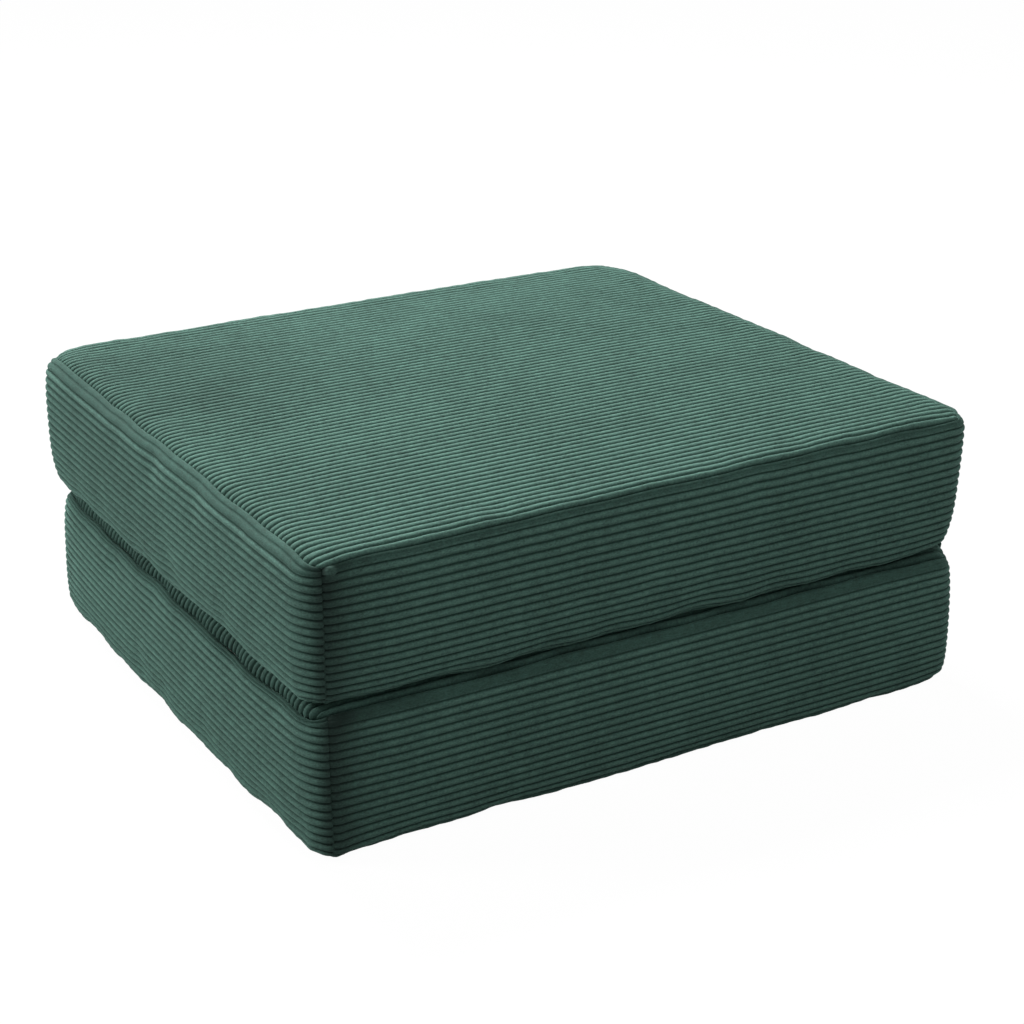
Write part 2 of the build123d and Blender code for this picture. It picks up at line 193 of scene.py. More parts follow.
# How many fibres and tufts the pile has per metre, along and across the wales
FIBRE_SCALE, TUFT_SCALE = (300.0, 620.0, 1.0), (80.0, 170.0, 1.0)
RUBBED_PLASTIC, RUBBED_METAL = (0.05, 0.09, 0.075, 1), (0.24, 0.25, 0.25, 1)
WHITE = (1, 1, 1, 1)
# The darkened place: where its edge starts and ends, and the tone inside and outside it
DARKENED_PLACE = 0.05, 0.34, 0.76, 1.0
# Place and size of each lamp
LAMPS = {"key": ((-0.05, 2.8, 4.2), 1.6), "side": ((-3.4, 1.8, 2.3), 1.1),
         "overhead": ((0.3, -2.3, 3.8), 2.4)}
# Half width of the floor, how far it lies below the ottoman, and the strength and share of the
# white that the camera sees on it
FLOOR_HALF, FLOOR_DROP, FLOOR_WHITE = 9.0, 0.0008, (1.11, 0.88)
# Movement of each section's coarse cover in the simulation
settled = {}


def length_setting(title, text, default):
    """A length in metres."""
    return bpy.props.FloatProperty(name=title, description=text, default=default, unit="LENGTH")


def angle_setting(title, text, degrees):
    """An angle, given in degrees."""
    return bpy.props.FloatProperty(name=title, description=text, default=np.radians(degrees),
                                   subtype="ANGLE")


def power_setting(title, text, default):
    """A lamp's power in watts."""
    return bpy.props.FloatProperty(name=title, description=text, default=default, subtype="POWER")


def place_setting(title, text, default):
    """A point in metres."""
    return bpy.props.FloatVectorProperty(name=title, description=text, default=default, size=3,
                                         subtype="XYZ")


def colour_setting(title, text, default):
    """A colour with its opacity last."""
    return bpy.props.FloatVectorProperty(name=title, description=text, default=default, size=4,
                                         subtype="COLOR", min=0, max=1)


class CoverSettings(bpy.types.PropertyGroup):
    """Sizes of the corduroy covers."""

    wale_pitch: length_setting(
        "Wale pitch", "Distance from one wale of the corduroy to the next", 0.01155)
    wale_height: length_setting(
        "Wale height", "How far a wale stands above the valleys beside it", 0.0032)
    side_pitch: length_setting(
        "Side pitch", "The same for the highest wales of the boxing strips", 0.0113)
    side_gather: length_setting(
        "Side gather", "How much closer each lower wale of a strip lies", 0.00008)
    corner_radius: length_setting(
        "Corner radius", "Radius of the upright corners, seen from above", 0.036)
    soft_corner_radius: length_setting(
        "Soft corner radius", "The same for the front left corner", 0.049)
    edge_roll: length_setting(
        "Edge roll", "Radius over which a panel rolls down to its seam", 0.018)
    long_seam_turn: angle_setting(
        "Long seam turn", "How far round the edge the front and back seams lie", 46)
    inner_seam_turn: angle_setting(
        "Inner seam turn", "The same for those between the sections", 27)
    short_seam_turn: angle_setting(
        "Short seam turn", "How far round the edge the two end seams lie", 18)
    tucked_seam_turn: angle_setting(
        "Tucked seam turn", "The same for the end seams under a section", 42)
    hidden_seam_turn: angle_setting(
        "Hidden seam turn", "The same for the end seams between the sections", 64)
    left_corner_turn: angle_setting(
        "Left corner turn", "How far round the front left corner its seam lies", 21)
    right_corner_turn: angle_setting(
        "Right corner turn", "How far round the front right corner its seam lies", 65)
    back_corner_turn: angle_setting(
        "Back corner turn", "How far round a back corner its seam lies", 45)
    pressed_band: length_setting(
        "Pressed band", "Depth of the front's first clear valley below the top", 0.0165)
    bulge: length_setting("Bulge", "How far a side stands out in its middle", 0.0035)
    seam_depth: length_setting("Seam depth", "How far the cloth dips into a seam", 0.0030)
    corner_seam_depth: length_setting(
        "Corner seam depth", "The same at the upright seams of the corners", 0.0034)
    end_depth: length_setting(
        "End depth", "How far the ends of a panel's wales dip to their seam", 0.0045)
    crown: length_setting("Crown", "How far the ottoman's top rises in its middle", 0.0055)
    ear: length_setting(
        "Ear", "How far the lowest point of the front left seam stands out", 0.0125)
    belly: length_setting(
        "Belly", "How far the lower section's left side stands out at its middle", 0.0068)
    cloth_growth: bpy.props.FloatProperty(
        name="Cloth growth", description="Share by which the cover is larger than its foam",
        default=0.012, min=0.0, max=0.1)


class FinishSettings(bpy.types.PropertyGroup):
    """Colours of the cloth, foam and zips."""

    corduroy: colour_setting(
        "Corduroy", "Colour of the pile on the wales", (0.089, 0.182, 0.148, 1))
    valley: colour_setting("Valley", "Colour between the wales", (0.026, 0.064, 0.051, 1))
    # Where the cloth is darker, round a place on the left of the top
    darkened_place: place_setting(
        "Brushed place", "Where the nap is brushed darker", (-0.40, 0.22, 0.39))
    foam: colour_setting("Foam", "Colour of the foam blocks", (0.78, 0.76, 0.68, 1))
    tape: colour_setting("Zip tape", "Colour of the woven tapes", (0.024, 0.052, 0.042, 1))
    teeth: colour_setting(
        "Zip teeth", "Colour of the zip's teeth and stops", (0.026, 0.055, 0.046, 1))
    metal: colour_setting(
        "Zip metal", "Colour of the painted slider and pull", (0.035, 0.062, 0.053, 1))


class StudioSettings(bpy.types.PropertyGroup):
    """The camera and the lights."""

    lens: bpy.props.FloatProperty(
        name="Lens", description="Focal length of the camera in millimetres", default=76.1)
    camera_place: place_setting(
        "Camera place", "Where the camera stands", (-1.4447, -2.5072, 1.3656))
    camera_azimuth: angle_setting(
        "Camera azimuth", "Turn of the view away from straight on to the front", 30.64)
    camera_elevation: angle_setting(
        "Camera elevation", "Angle by which the camera looks down", 21.93)
    key_power: power_setting("Key power", "Power of the lamp above the back", 293)
    side_power: power_setting("Side power", "Power of the lamp beside the left end", 98)
    overhead_power: power_setting("Overhead power", "Power of the lamp above the front", 45)
    sky_strength: bpy.props.FloatProperty(
        name="Sky strength", description="Strength of the even light from all round", default=0.15)


# Shape of a cover


class Cushion:
    """Measures of one section's cover, taken from the frame and from the settings."""

    def __init__(self, side, form):
        self.side = side
        self.radius, self.roll = form.corner_radius, form.edge_roll
        half_x = -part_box(f"{side}_left_boxing")[0][0]
        half_y = -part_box(f"{side}_front_boxing")[0][1]
        top_panel, base_panel = PANEL_NAMES[side]
        self.crown = form.crown if top_panel == "outer" else 0.0
        self.base = max(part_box(f"{side}_{base_panel}_panel")[0][2], 0.0)
        self.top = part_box(f"{side}_{top_panel}_panel")[1][2] - self.crown
        self.middle = (self.top + self.base) / 2
        self.half_x, self.half_y = half_x, half_y
        self.straight_x, self.straight_y = half_x - self.radius, half_y - self.radius
        arc, run_x, run_y = self.radius * np.pi / 2, 2 * self.straight_x, 2 * self.straight_y
        self.runs = np.array([run_x, arc, run_y, arc, run_x, arc, run_y, arc])
        self.starts = np.cumsum([0, *self.runs[:-1]])
        self.lap = self.runs.sum()
        self.flat_reach = self.radius - self.roll
        self.upright = (self.top - self.base) / 2 - self.roll
        self.bulge, self.crease_turn = form.bulge, form.left_corner_turn
        self.soft_radius = form.soft_corner_radius
        self.belly = form.belly if side == "lower" else 0.0
        self.ear = form.ear if side == "lower" else 0.0
        inner = 1 if side == "lower" else -1
        self.long_turn = {inner: form.inner_seam_turn, -inner: form.long_seam_turn}
        exposed = form.short_seam_turn if side == "upper" else form.hidden_seam_turn
        self.short_turn = {1: exposed, -1: form.tucked_seam_turn}

    def seam_turn(self, up, out_x):
        """How far round the edge the seam lies, eased from the long sides' turn to the ends'."""
        return self.long_turn[up] + (self.short_turn[up] - self.long_turn[up]) * out_x**2

    def panel_reach(self, up, out_x):
        """Cloth from the straight middle of a panel to its seam: a flat and an arc of the roll."""
        return self.flat_reach + self.roll * self.seam_turn(up, out_x)

    def side_reach(self, up, out_x):
        """Cloth from mid-height of a side to its seam: an upright and the rest of the roll."""
        return self.upright + self.roll * (np.pi / 2 - self.seam_turn(up, out_x))

    def half_row(self, up, across):
        """Half length of a panel's row at a distance across it: the straight middle and what the
        rounded cut leaves beyond it. The cut's reach is the root of the sum of the squares of
        that and of the distance past the middle, and it depends on both, so they are found by
        repeating."""
        past = np.maximum(np.abs(across) - self.straight_y, 0)
        along = np.full_like(past, self.panel_reach(up, 1.0))
        for _ in range(HALF_ROW_ROUNDS):
            reach = self.panel_reach(up, along / np.maximum(np.hypot(along, past), TINY))
            along = np.sqrt(np.maximum(reach**2 - past**2, 0))
        return self.straight_x + along


def panel_place(cushion, up, along, across):
    """Points, normals, distances to the seam and nearest stations for a panel's cloth.

    The cloth lies flat, then past the straight middle it runs outwards from the middle's nearest
    point, over the edge and down an arc of the roll. The crown is a product of two quartics.
    """
    core_x = np.clip(along, -cushion.straight_x, cushion.straight_x)
    core_y = np.clip(across, -cushion.straight_y, cushion.straight_y)
    past_x, past_y = along - core_x, across - core_y
    reach = np.hypot(past_x, past_y)
    out_x, out_y = past_x / np.maximum(reach, TINY), past_y / np.maximum(reach, TINY)
    turn = np.maximum(reach - cushion.flat_reach, 0) / cushion.roll
    sideways = np.minimum(reach, cushion.flat_reach) + cushion.roll * np.sin(turn)
    x, y = core_x + out_x * sideways, core_y + out_y * sideways
    dome = (cushion.crown * (up > 0) * (1 - (x / cushion.half_x) ** 4)
            * (1 - (y / cushion.half_y) ** 4))
    face = cushion.top if up > 0 else cushion.base
    z = face + dome - up * cushion.roll * (1 - np.cos(turn))
    seam = cushion.panel_reach(up, out_x)
    to_seam = np.where(reach > 0, seam - reach, cushion.radius)
    station = station_of(cushion, along, across)
    near = (reach / seam) ** 3
    drawn = (drawn_in(cushion, station, up) - seam_wave(cushion, up, station)) * near
    z = z + seam_lift(cushion, up, station) * near
    points = np.stack([x - drawn * out_x, y - drawn * out_y, z], -1)
    normals = np.stack([out_x * np.sin(turn), out_y * np.sin(turn), up * np.cos(turn)], -1)
    return points + slump(cushion, points), normals, to_seam, station


def side_place(cushion, station, climb):
    """Points of the cloth round the sides.

    station is where the cloth is on the perimeter. climb is measured up the cloth from
    mid-height: upright first, then round the roll of the edge. The sides bulge by a cubic up
    them and a quartic along them.
    """
    core, out = perimeter_place(cushion, station)
    up = np.sign(climb)
    turn = np.clip((np.abs(climb) - cushion.upright) / cushion.roll, 0, np.pi / 2)
    sideways = cushion.radius - cushion.roll * (1 - np.cos(turn))
    z = cushion.middle + up * (np.minimum(np.abs(climb), cushion.upright)
                               + cushion.roll * np.sin(turn))
    along = np.where(np.abs(out[..., 0]) > END_FACING, core[..., 1] / cushion.straight_y,
                     core[..., 0] / cushion.straight_x)
    edge = by_half(climb, lambda up: cushion.side_reach(up, out[..., 0]))
    share = np.clip(np.abs(climb) / edge, 0, 1)
    sideways = sideways + cushion.bulge * (1 - share**3) * (1 - BULGE_LOSS * along**4)
    near = share**6
    sideways = sideways - drawn_in(cushion, station, np.clip(climb / edge, -1, 1))
    wave = by_half(climb, lambda up: seam_wave(cushion, up, station))
    lift = by_half(climb, lambda up: seam_lift(cushion, up, station))
    sideways, z = sideways + wave * near, z + lift * near
    points = np.stack([core[..., 0] + out[..., 0] * sideways,
                       core[..., 1] + out[..., 1] * sideways, z], -1)
    return points + slump(cushion, points)


def drawn_in(cushion, station, level):
    """How far the plan is drawn in along its normal at a level from -1 at the bottom to 1.

    Up to the front left corner seam it follows a rounder corner, and from there the front runs
    straight to a point further along. The left side's belly, a quartic, stands out instead, and
    so does the pointed ear at the bottom of the corner seam.
    """
    station = np.mod(station + cushion.lap / 2, cushion.lap) - cushion.lap / 2
    core, out = perimeter_place(cushion, station)
    outline = core + cushion.radius * out
    turn = cushion.crease_turn
    seam_out = -np.array([np.sin(turn), np.cos(turn)])
    corner = -np.array([cushion.straight_x, cushion.straight_y])
    seam = corner + cushion.radius * seam_out
    seam = seam - rounder_depth(cushion, seam, seam_out) * seam_out
    line = corner + np.array([FRONT_RUN, -cushion.radius]) - seam
    normal = np.array([line[1], -line[0]]) / np.hypot(*line)
    to_line = ((outline - seam) @ normal) / np.maximum(out @ normal, LEAST_FACING)
    on_front = station > -cushion.radius * turn
    depth = np.where(on_front, np.where(station < FRONT_RUN, np.maximum(to_line, 0), 0),
                     rounder_depth(cushion, outline, out))
    on_left = np.where(out[..., 0] < -END_FACING, core[..., 1] / cushion.straight_y, 1)
    softness = np.interp(level, (-1, 0, 1), SOFTNESS[cushion.side])
    ear = cushion.ear * fading(np.abs(station + cushion.radius * turn), EAR_WIDTH)
    return softness * depth - cushion.belly * (1 - on_left**4) - ear * np.maximum(-level, 0) ** 2


def rounder_depth(cushion, outline, out):
    """Distance from the outline, inwards along its normal, to the rounder front left corner."""
    offset = outline + np.array([cushion.half_x, cushion.half_y]) - cushion.soft_radius
    along = (offset * out).sum(-1)
    inner = along**2 - (offset**2).sum(-1) + cushion.soft_radius**2
    depth = along - np.sqrt(np.maximum(inner, 0))
    return np.where((offset < 0).all(-1), np.maximum(depth, 0), 0)


def seam_wave(cushion, up, station):
    """How far the seam strays in and out round the cover, small at the top and more below. The
    seams between the sections are also drawn in a little."""
    size = TOP_STRAY if up > 0 and cushion.side == "upper" else STRAY
    drawn = BETWEEN_DRAWN if (up > 0) == (cushion.side == "lower") else 0.0
    return size * seam_ripple(cushion, up, station, *STRAY_WAVES) - drawn


def seam_lift(cushion, up, station):
    """How far the seam strays up and down round the cover, above the floor for the lowest."""
    wave = WAVES[cushion.side][up] * seam_ripple(cushion, up, station, *LIFT_WAVES)
    wave = wave + LIFTS[cushion.side][up]
    return np.maximum(wave, 0) if cushion.side == "lower" and up < 0 else wave


def seam_ripple(cushion, up, station, counts, first_seed):
    """Even waves round the cover, drawn anew for each of the four seams."""
    seed = first_seed + 2 * SECTIONS.index(cushion.side) + (up > 0)
    return ripple(station, cushion.lap, counts, seed)


def slump(cushion, points):
    """Shift of the points between the section's eight slumped corners, by straight shares of
    its length, width and height. Each corner also gives way up or down and inwards, by a bell
    curve of the distance from it and a cube of the height from mid-height."""
    x, y, z = np.moveaxis(points, -1, 0)
    share = np.stack([(z - cushion.base) / (cushion.top - cushion.base),
                      (y / cushion.half_y + 1) / 2, (x / cushion.half_x + 1) / 2])
    share = np.clip(share, 0, 1)[..., None]
    corners = SLUMP[cushion.side]
    up, back, along = share[0, ..., None, None], share[1, ..., None], share[2]
    level = corners[0] * (1 - up) + corners[1] * up
    row = level[..., 0, :, :] * (1 - back) + level[..., 1, :, :] * back
    shift = row[..., 0, :] * (1 - along) + row[..., 1, :] * along
    away = np.hypot(cushion.half_x - np.abs(x), cushion.half_y - np.abs(y))
    level = 2 * share[0, ..., 0] - 1
    give = GIVE[cushion.side][(level > 0) * 1, (y > 0) * 1, (x > 0) * 1]
    give = give * (bell(away, GIVE_REACH) * np.abs(level) ** 3)[..., None]
    shift[..., 2] -= give[..., 0] * np.sign(level)
    shift[..., :2] -= give[..., 1:] * np.sign(points[..., :2])
    return shift


def by_half(climb, measure):
    """A measure of the upper half where the climb is above mid-height, and else of the lower."""
    return np.where(climb > 0, measure(1), measure(-1))


def perimeter_place(cushion, station):
    """Nearest point of the straight middle and outward direction at a distance round the cover.

    The distance starts where the front's straight part does and runs to the right: four straight
    runs with a quarter turn of the corner radius after each.
    """
    station = np.mod(station, cushion.lap)[..., None]
    share = np.clip((station - cushion.starts) / cushion.runs, 0, 1)
    turn = np.pi / 2 * share[..., 1::2].sum(-1)
    x = cushion.straight_x * (-1 + 2 * share[..., 0] - 2 * share[..., 4])
    y = cushion.straight_y * (-1 + 2 * share[..., 2] - 2 * share[..., 6])
    return np.stack([x, y], -1), np.stack([np.sin(turn), -np.cos(turn)], -1)


def station_of(cushion, along, across):
    """Distance round the cover of the seam point beside a panel's point."""
    core_x = np.clip(along, -cushion.straight_x, cushion.straight_x)
    core_y = np.clip(across, -cushion.straight_y, cushion.straight_y)
    turn = np.mod(np.arctan2(along - core_x, -(across - core_y)), 2 * np.pi)
    turn = np.where(turn > 2 * np.pi - 1e-6, 0, turn)
    quarter = np.ceil(turn / (np.pi / 2) - 1e-6)
    run_x, run_y = 2 * cushion.straight_x, 2 * cushion.straight_y
    gone_x, gone_y = core_x + cushion.straight_x, core_y + cushion.straight_y
    runs = np.select(
        [quarter == 0, quarter == 1, quarter == 2, quarter == 3],
        [gone_x, run_x + gone_y, run_x + run_y + (run_x - gone_x),
         2 * run_x + run_y + (run_y - gone_y)], 2 * (run_x + run_y))
    return np.where(quarter == 0, gone_x, runs + cushion.radius * turn)


def corner_station(cushion, corner, form):
    """Where a corner seam meets the perimeter. Corners count from the front right."""
    turn = (form.right_corner_turn, np.pi / 2 - form.back_corner_turn,
            form.back_corner_turn, np.pi / 2 - form.left_corner_turn)[corner]
    return cushion.starts[2 * corner + 1] + cushion.radius * turn


# The cloth: settling, wales, puckers


def ripple(place, period, counts, seed):
    """Even waves round a closed run: a sum of sines whose counts divide the run exactly."""
    draws = np.random.default_rng(seed)
    total = np.zeros_like(place)
    for count in counts:
        total = total + draws.uniform(0.6, 1.0) * np.sin(
            2 * np.pi * count * place / period + draws.uniform(0, 2 * np.pi))
    return total / np.sqrt(len(counts))


def fading(distance, width):
    """1 at no distance, and one part in e less for each width further."""
    return np.exp(-distance / width)


def bell(distance, width):
    """A bell curve: 1 at no distance and one part in e at the width."""
    return np.exp(-((distance / width) ** 2))


def eased(value, low, high):
    """0 below low, 1 above high and a smooth cubic between."""
    share = np.clip((value - low) / (high - low), 0, 1)
    return share * share * (3 - 2 * share)


def wale_share(phase):
    """Height across one wale: 0 on the flat valley floor, then nearly a half ellipse to 1."""
    from_crest = np.abs(2 * (phase - np.floor(phase)) - 1) / (1 - 2 * VALLEY)
    return (1 - np.minimum(from_crest, 1) ** 2) ** WALE_POWER


def wale_rows(low, high):
    """Phases of a grid's rows from one valley number to another, close together in the valleys."""
    whole = np.arange(np.floor(low), np.ceil(high) + 1)
    rows = (whole[:, None] + WALE_STEPS).ravel()
    rows = rows[(rows > low + ROW_GAP) & (rows < high - ROW_GAP)]
    return np.concatenate([[low], rows, [high]])


def cage_knots(cushion, up, step):
    """Rows of a coarse panel, spaced so that their ends are evenly spread round the corners."""
    rounded = cushion.straight_y + cushion.panel_reach(up, 0.0) * np.array([0, 0.5, 1])
    count = int(np.ceil(2 * cushion.straight_y / step))
    inner = np.linspace(-cushion.straight_y, cushion.straight_y, count + 1)[1:-1]
    return np.concatenate([-rounded[::-1], inner, rounded])


def cage_of(cushion, step, rings):
    """Coarse closed mesh of a cover: two panels and the rings of cloth between their seams."""
    columns = np.linspace(-1, 1, int(np.ceil(2 * cushion.straight_x / step)) + 1)
    faces, panels, grids, points = [], {}, {}, []
    total = 0
    for up in (1, -1):
        across = cage_knots(cushion, up, step)[:, None] * np.ones((1, len(columns)))
        along = columns * cushion.half_row(up, across[:, 0])[:, None]
        place = panel_place(cushion, up, along, across)[0]
        index = numbered(place, total)
        total += index.size
        points.append(place.reshape(-1, 3))
        faces.append(grid_faces(index, flip=up < 0))
        panels[up] = index
        rows = across[:, 0] / across[-1, 0]
        grids[up] = {"rows": rows, "columns": columns, "index": index}
        if up > 0:
            loop_along, loop_across = loop_of(along), loop_of(across)
    stations = station_of(cushion, loop_along, loop_across)
    out = perimeter_place(cushion, stations)[1][:, 0]
    share = np.linspace(-1, 1, rings)[:, None]
    climb = share * by_half(share, lambda up: cushion.side_reach(up, out))
    place = side_place(cushion, np.broadcast_to(stations, climb.shape), climb)
    inner = numbered(place[1:-1], total)
    points.append(place[1:-1].reshape(-1, 3))
    index = np.concatenate([loop_of(panels[-1])[None], inner, loop_of(panels[1])[None]])
    faces.append(grid_faces(np.concatenate([index, index[:, :1]], 1)))
    grids[0] = {"shares": share[:, 0], "stations": stations, "index": index}
    return np.concatenate(points), np.concatenate(faces), grids


def loop_of(grid):
    """Border of a grid, anticlockwise from its first corner."""
    return np.concatenate([grid[0], grid[1:, -1], grid[-1, -2::-1], grid[-2:0:-1, 0]])


def numbered(points, first=0):
    """Point numbers of a grid of points, counted from the first."""
    return first + np.arange(points[..., 0].size).reshape(points.shape[:2])


def grid_faces(index, flip=False):
    """Quads of a grid of point numbers, facing the side that its rows and columns turn about."""
    quads = np.stack([index[:-1, :-1], index[:-1, 1:], index[1:, 1:], index[1:, :-1]], -1)
    quads = quads.reshape(-1, 4)
    return quads[:, ::-1] if flip else quads


def cubic_lookup(grid, row, column):
    """Values of a coarse grid at fractional rows and columns, by Catmull-Rom curves both ways."""
    def weights(place, count):
        whole = np.clip(np.floor(place).astype(int), 0, count - 2)
        t = place - whole
        mix = np.stack([-t / 2 + t**2 - t**3 / 2, 1 - 2.5 * t**2 + 1.5 * t**3,
                        t / 2 + 2 * t**2 - 1.5 * t**3, (t**3 - t**2) / 2], -1)
        return np.clip(whole[..., None] + np.arange(-1, 3), 0, count - 1), mix
    rows, row_mix = weights(row, grid.shape[0])
    columns, column_mix = weights(column, grid.shape[1])
    total = 0
    for i in range(4):
        for j in range(4):
            share = (row_mix[..., i] * column_mix[..., j])[..., None]
            total = total + share * grid[rows[..., i], columns[..., j]]
    return total


def panel_shift(cushion, up, row_share, column_share):
    """How far the settled cloth of a panel has moved, from the coarse simulation."""
    if cushion.side not in settled:
        return 0.0
    moved, grids = settled[cushion.side]
    grid = grids[up]
    row = np.interp(row_share, grid["rows"], np.arange(len(grid["rows"])))
    column = np.interp(column_share, grid["columns"], np.arange(len(grid["columns"])))
    return cubic_lookup(moved[grid["index"]], row, column)


def side_shift(cushion, station, climb, out_x):
    """How far the settled cloth of the sides has moved, from the coarse simulation."""
    if cushion.side not in settled:
        return 0.0
    moved, grids = settled[cushion.side]
    grid = grids[0]
    reach = by_half(climb, lambda up: cushion.side_reach(up, out_x))
    row = np.interp(climb / reach, grid["shares"], np.arange(len(grid["shares"])))
    known = grid["stations"]
    knots = np.concatenate([known - cushion.lap, known, known + cushion.lap])
    column = np.interp(np.mod(station, cushion.lap), knots, np.arange(3 * len(known)))
    return cubic_lookup(np.concatenate([moved[grid["index"]]] * 3, 1), row, column)


# Meshes


def new_piece(name, points, faces, material, cloth=None, shares=None, smooth=True):
    """Object at the origin with its place in its mesh, its cloth coordinates as a UV map and
    its shares as attributes of its points. faces is an array, or a list when their sizes vary."""
    mesh = bpy.data.meshes.new(name)
    faces = faces if isinstance(faces, list) else faces.tolist()
    mesh.from_pydata(points.reshape(-1, 3).tolist(), [], faces)
    if cloth is not None:
        corners = np.zeros(len(mesh.loops), np.int32)
        mesh.loops.foreach_get("vertex_index", corners)
        layer = mesh.uv_layers.new(name="cloth")
        layer.data.foreach_set("uv", cloth.reshape(-1, 2)[corners].astype(np.float32).ravel())
    for label, values in (shares or {}).items():
        attribute = mesh.attributes.new(label, "FLOAT", "POINT")
        attribute.data.foreach_set("value", values.astype(np.float32).ravel())
    if smooth:
        mesh.shade_smooth()
    mesh.materials.append(material)
    mesh.update()
    piece = bpy.data.objects.new(name, mesh)
    bpy.context.scene.collection.objects.link(piece)
    return piece


def grid_normals(points):
    """Unit normals of a grid: the cross product of its slopes along the columns and the rows."""
    down, along = np.gradient(points, axis=0), np.gradient(points, axis=1)
    normal = np.cross(along, down)
    return normal / np.maximum(np.linalg.norm(normal, axis=-1, keepdims=True), TINY)


def tucked(points, normals, extra):
    """The grid with its border carried on inwards and a little past the seam, so that the cloth's
    raw edge lies in the seam and the seam is closed."""
    around = ((1, 1), (1, 1), (0, 0))
    wide, wide_normals = np.pad(points, around, "edge"), np.pad(normals, around, "edge")
    past = np.pad(points, around, "reflect", reflect_type="odd") - wide
    past /= np.maximum(np.linalg.norm(past, axis=-1, keepdims=True), TINY)
    rim = np.ones(wide.shape[:2])
    rim[1:-1, 1:-1] = 0
    extra = [np.pad(values, around[:2] + ((0, 0),) * (values.ndim - 2), "edge") for values in extra]
    return wide + rim[..., None] * TUCK * (TUCK_LEAN * past - wide_normals), extra


def cloth_surface(points, normals, wale, amount, dip, form):
    """The settled cloth with its wales: each point is lowered along its normal by the valley's
    depth where it is off a crest, and by the dip of the seams. On the fold side the cloth is
    pressed in, by a hyperbolic tangent of how far it stands out."""
    depth = form.wale_height * amount * (1 - wale) + dip
    standing = np.maximum(points[..., 0] - FOLD_PRESSED, 0)
    room = FOLD_REACH - FOLD_PRESSED
    points = points.copy()
    points[..., 0] -= standing - room * np.tanh(standing / room)
    return points - depth[..., None] * normals


def seam_dip(distance, form):
    """Depth of the cloth beside a seam: it fades with the distance."""
    return form.seam_depth * fading(np.maximum(distance, 0), STITCH_WIDTH)


def beside(distance, width):
    """Share of a pucker beside a seam: none at the stitches, most a little off them, then less."""
    return fading(distance, width) * (1 - fading(distance, STITCH_WIDTH))


def panel_piece(cushion, up, form, material):
    """One cover panel and its node's name: wales along X, whole wales across, its rim rolled
    down to the seam.

    The rows are lines along the wales and the columns are scaled to each row's length, so the
    rounded corners of the cut are the ends of the rows.
    """
    panel = PANEL_NAMES[cushion.side][0 if up > 0 else 1]
    on_floor = cushion.side == "lower" and up < 0
    reach = cushion.straight_y + cushion.panel_reach(up, 0.0)
    wales = int(round(2 * reach / form.wale_pitch))
    phases = wale_rows(0, wales)
    across = (phases * (2 * reach / wales) - reach)[:, None]
    half = cushion.half_row(up, across[:, 0])[:, None]
    inner = np.linspace(END_SHARE - 1, 1 - END_SHARE, MIDDLE_COLUMNS)
    outer = 1 - END_SHARE + END_SHARE * np.linspace(0, 1, END_COLUMNS)[1:] ** 0.8
    columns = np.concatenate([-outer[::-1], inner, outer])[None]
    along = columns * half
    across = across * np.ones_like(columns)
    base, normals, to_seam, station = panel_place(cushion, up, along, across)
    base = base + panel_shift(cushion, up, across / reach, columns * np.ones_like(across))
    if on_floor:
        base[..., 2] = np.maximum(base[..., 2], cushion.base + form.wale_height * FLOOR_ROOM)
    counts, seed, width = PANEL_PUCKERS
    pucker = ripple(station, cushion.lap, counts, seed + up) * PANEL_PUCKER * beside(to_seam, width)
    wale = wale_share(phases)[:, None] * np.ones_like(columns)
    ends = eased(np.abs(along), cushion.straight_x, cushion.straight_x + END_REACH)
    amount, cap = corner_cap(cushion, base, to_seam)
    amount = amount * (1 + END_HIGHER[0] * ends * fading(to_seam, END_HIGHER[1]))
    dip = np.maximum(seam_dip(to_seam, form), form.end_depth * ends * fading(to_seam, END_DIP))
    points = cloth_surface(base + (pucker + cap)[..., None] * normals, normals, wale, amount,
                           dip, form)
    if on_floor:
        points[..., 2] = np.maximum(points[..., 2], 0.0)
    # painted shade where the wale ends dip into the seam
    crest = 1 - END_PAINTED_SHADE[0] * ends * fading(to_seam, END_PAINTED_SHADE[1])
    crest = np.maximum((1 - amount * (1 - wale)) * crest - GATHERED_DULL * (1 - amount), 0)
    # painted shade on the rim of an inner panel, where the two sections meet
    if panel == "inner":
        crest = crest * (1 - RIM_PAINTED_SHADE[0] * fading(to_seam, RIM_PAINTED_SHADE[1]))
    cloth = np.stack([along, across], -1)
    points, (cloth, crest) = tucked(points, normals, (cloth, crest))
    piece = new_piece(f"{cushion.side}_{panel}_cover_panel", points,
                      grid_faces(numbered(points), flip=up < 0), material, cloth,
                      {"wale": crest, "shade": np.ones_like(crest)})
    return piece, f"{cushion.side}_{panel}_panel"


def corner_cap(cushion, points, to_seam):
    """Where the cloth is gathered smooth at the front left corner of three seams: the share of
    the wales that is left, and the height of the puff."""
    far = np.hypot(points[..., 0] + (cushion.straight_x + cushion.radius * CAP_PLACE[0]),
                   points[..., 1] + (cushion.straight_y + cushion.radius * CAP_PLACE[1]))
    gathered = bell(np.hypot(far, to_seam), CAP_RADIUS)
    return 1 - CAP_FLAT * gathered, CAP_HEIGHT * gathered * (1 - fading(to_seam, CAP_RISE))


def side_stations(cushion, start, end):
    """Stations along a strip from corner seam to corner seam, closer together on the corners."""
    steps = np.arange(start, end, FINE_STEP)
    _, out = perimeter_place(cushion, steps)
    curved = np.abs(out).max(-1) < 0.99999
    near = np.convolve(curved, np.ones(NEAR_STEPS), "same") > 0
    weight = np.where(near, 1 / FINE_STEP, 1 / COARSE_STEP)
    gone = np.concatenate([[0], np.cumsum(weight[:-1] * FINE_STEP)])
    count = int(np.ceil(gone[-1]))
    return np.interp(np.linspace(0, gone[-1], count + 1), gone, steps)


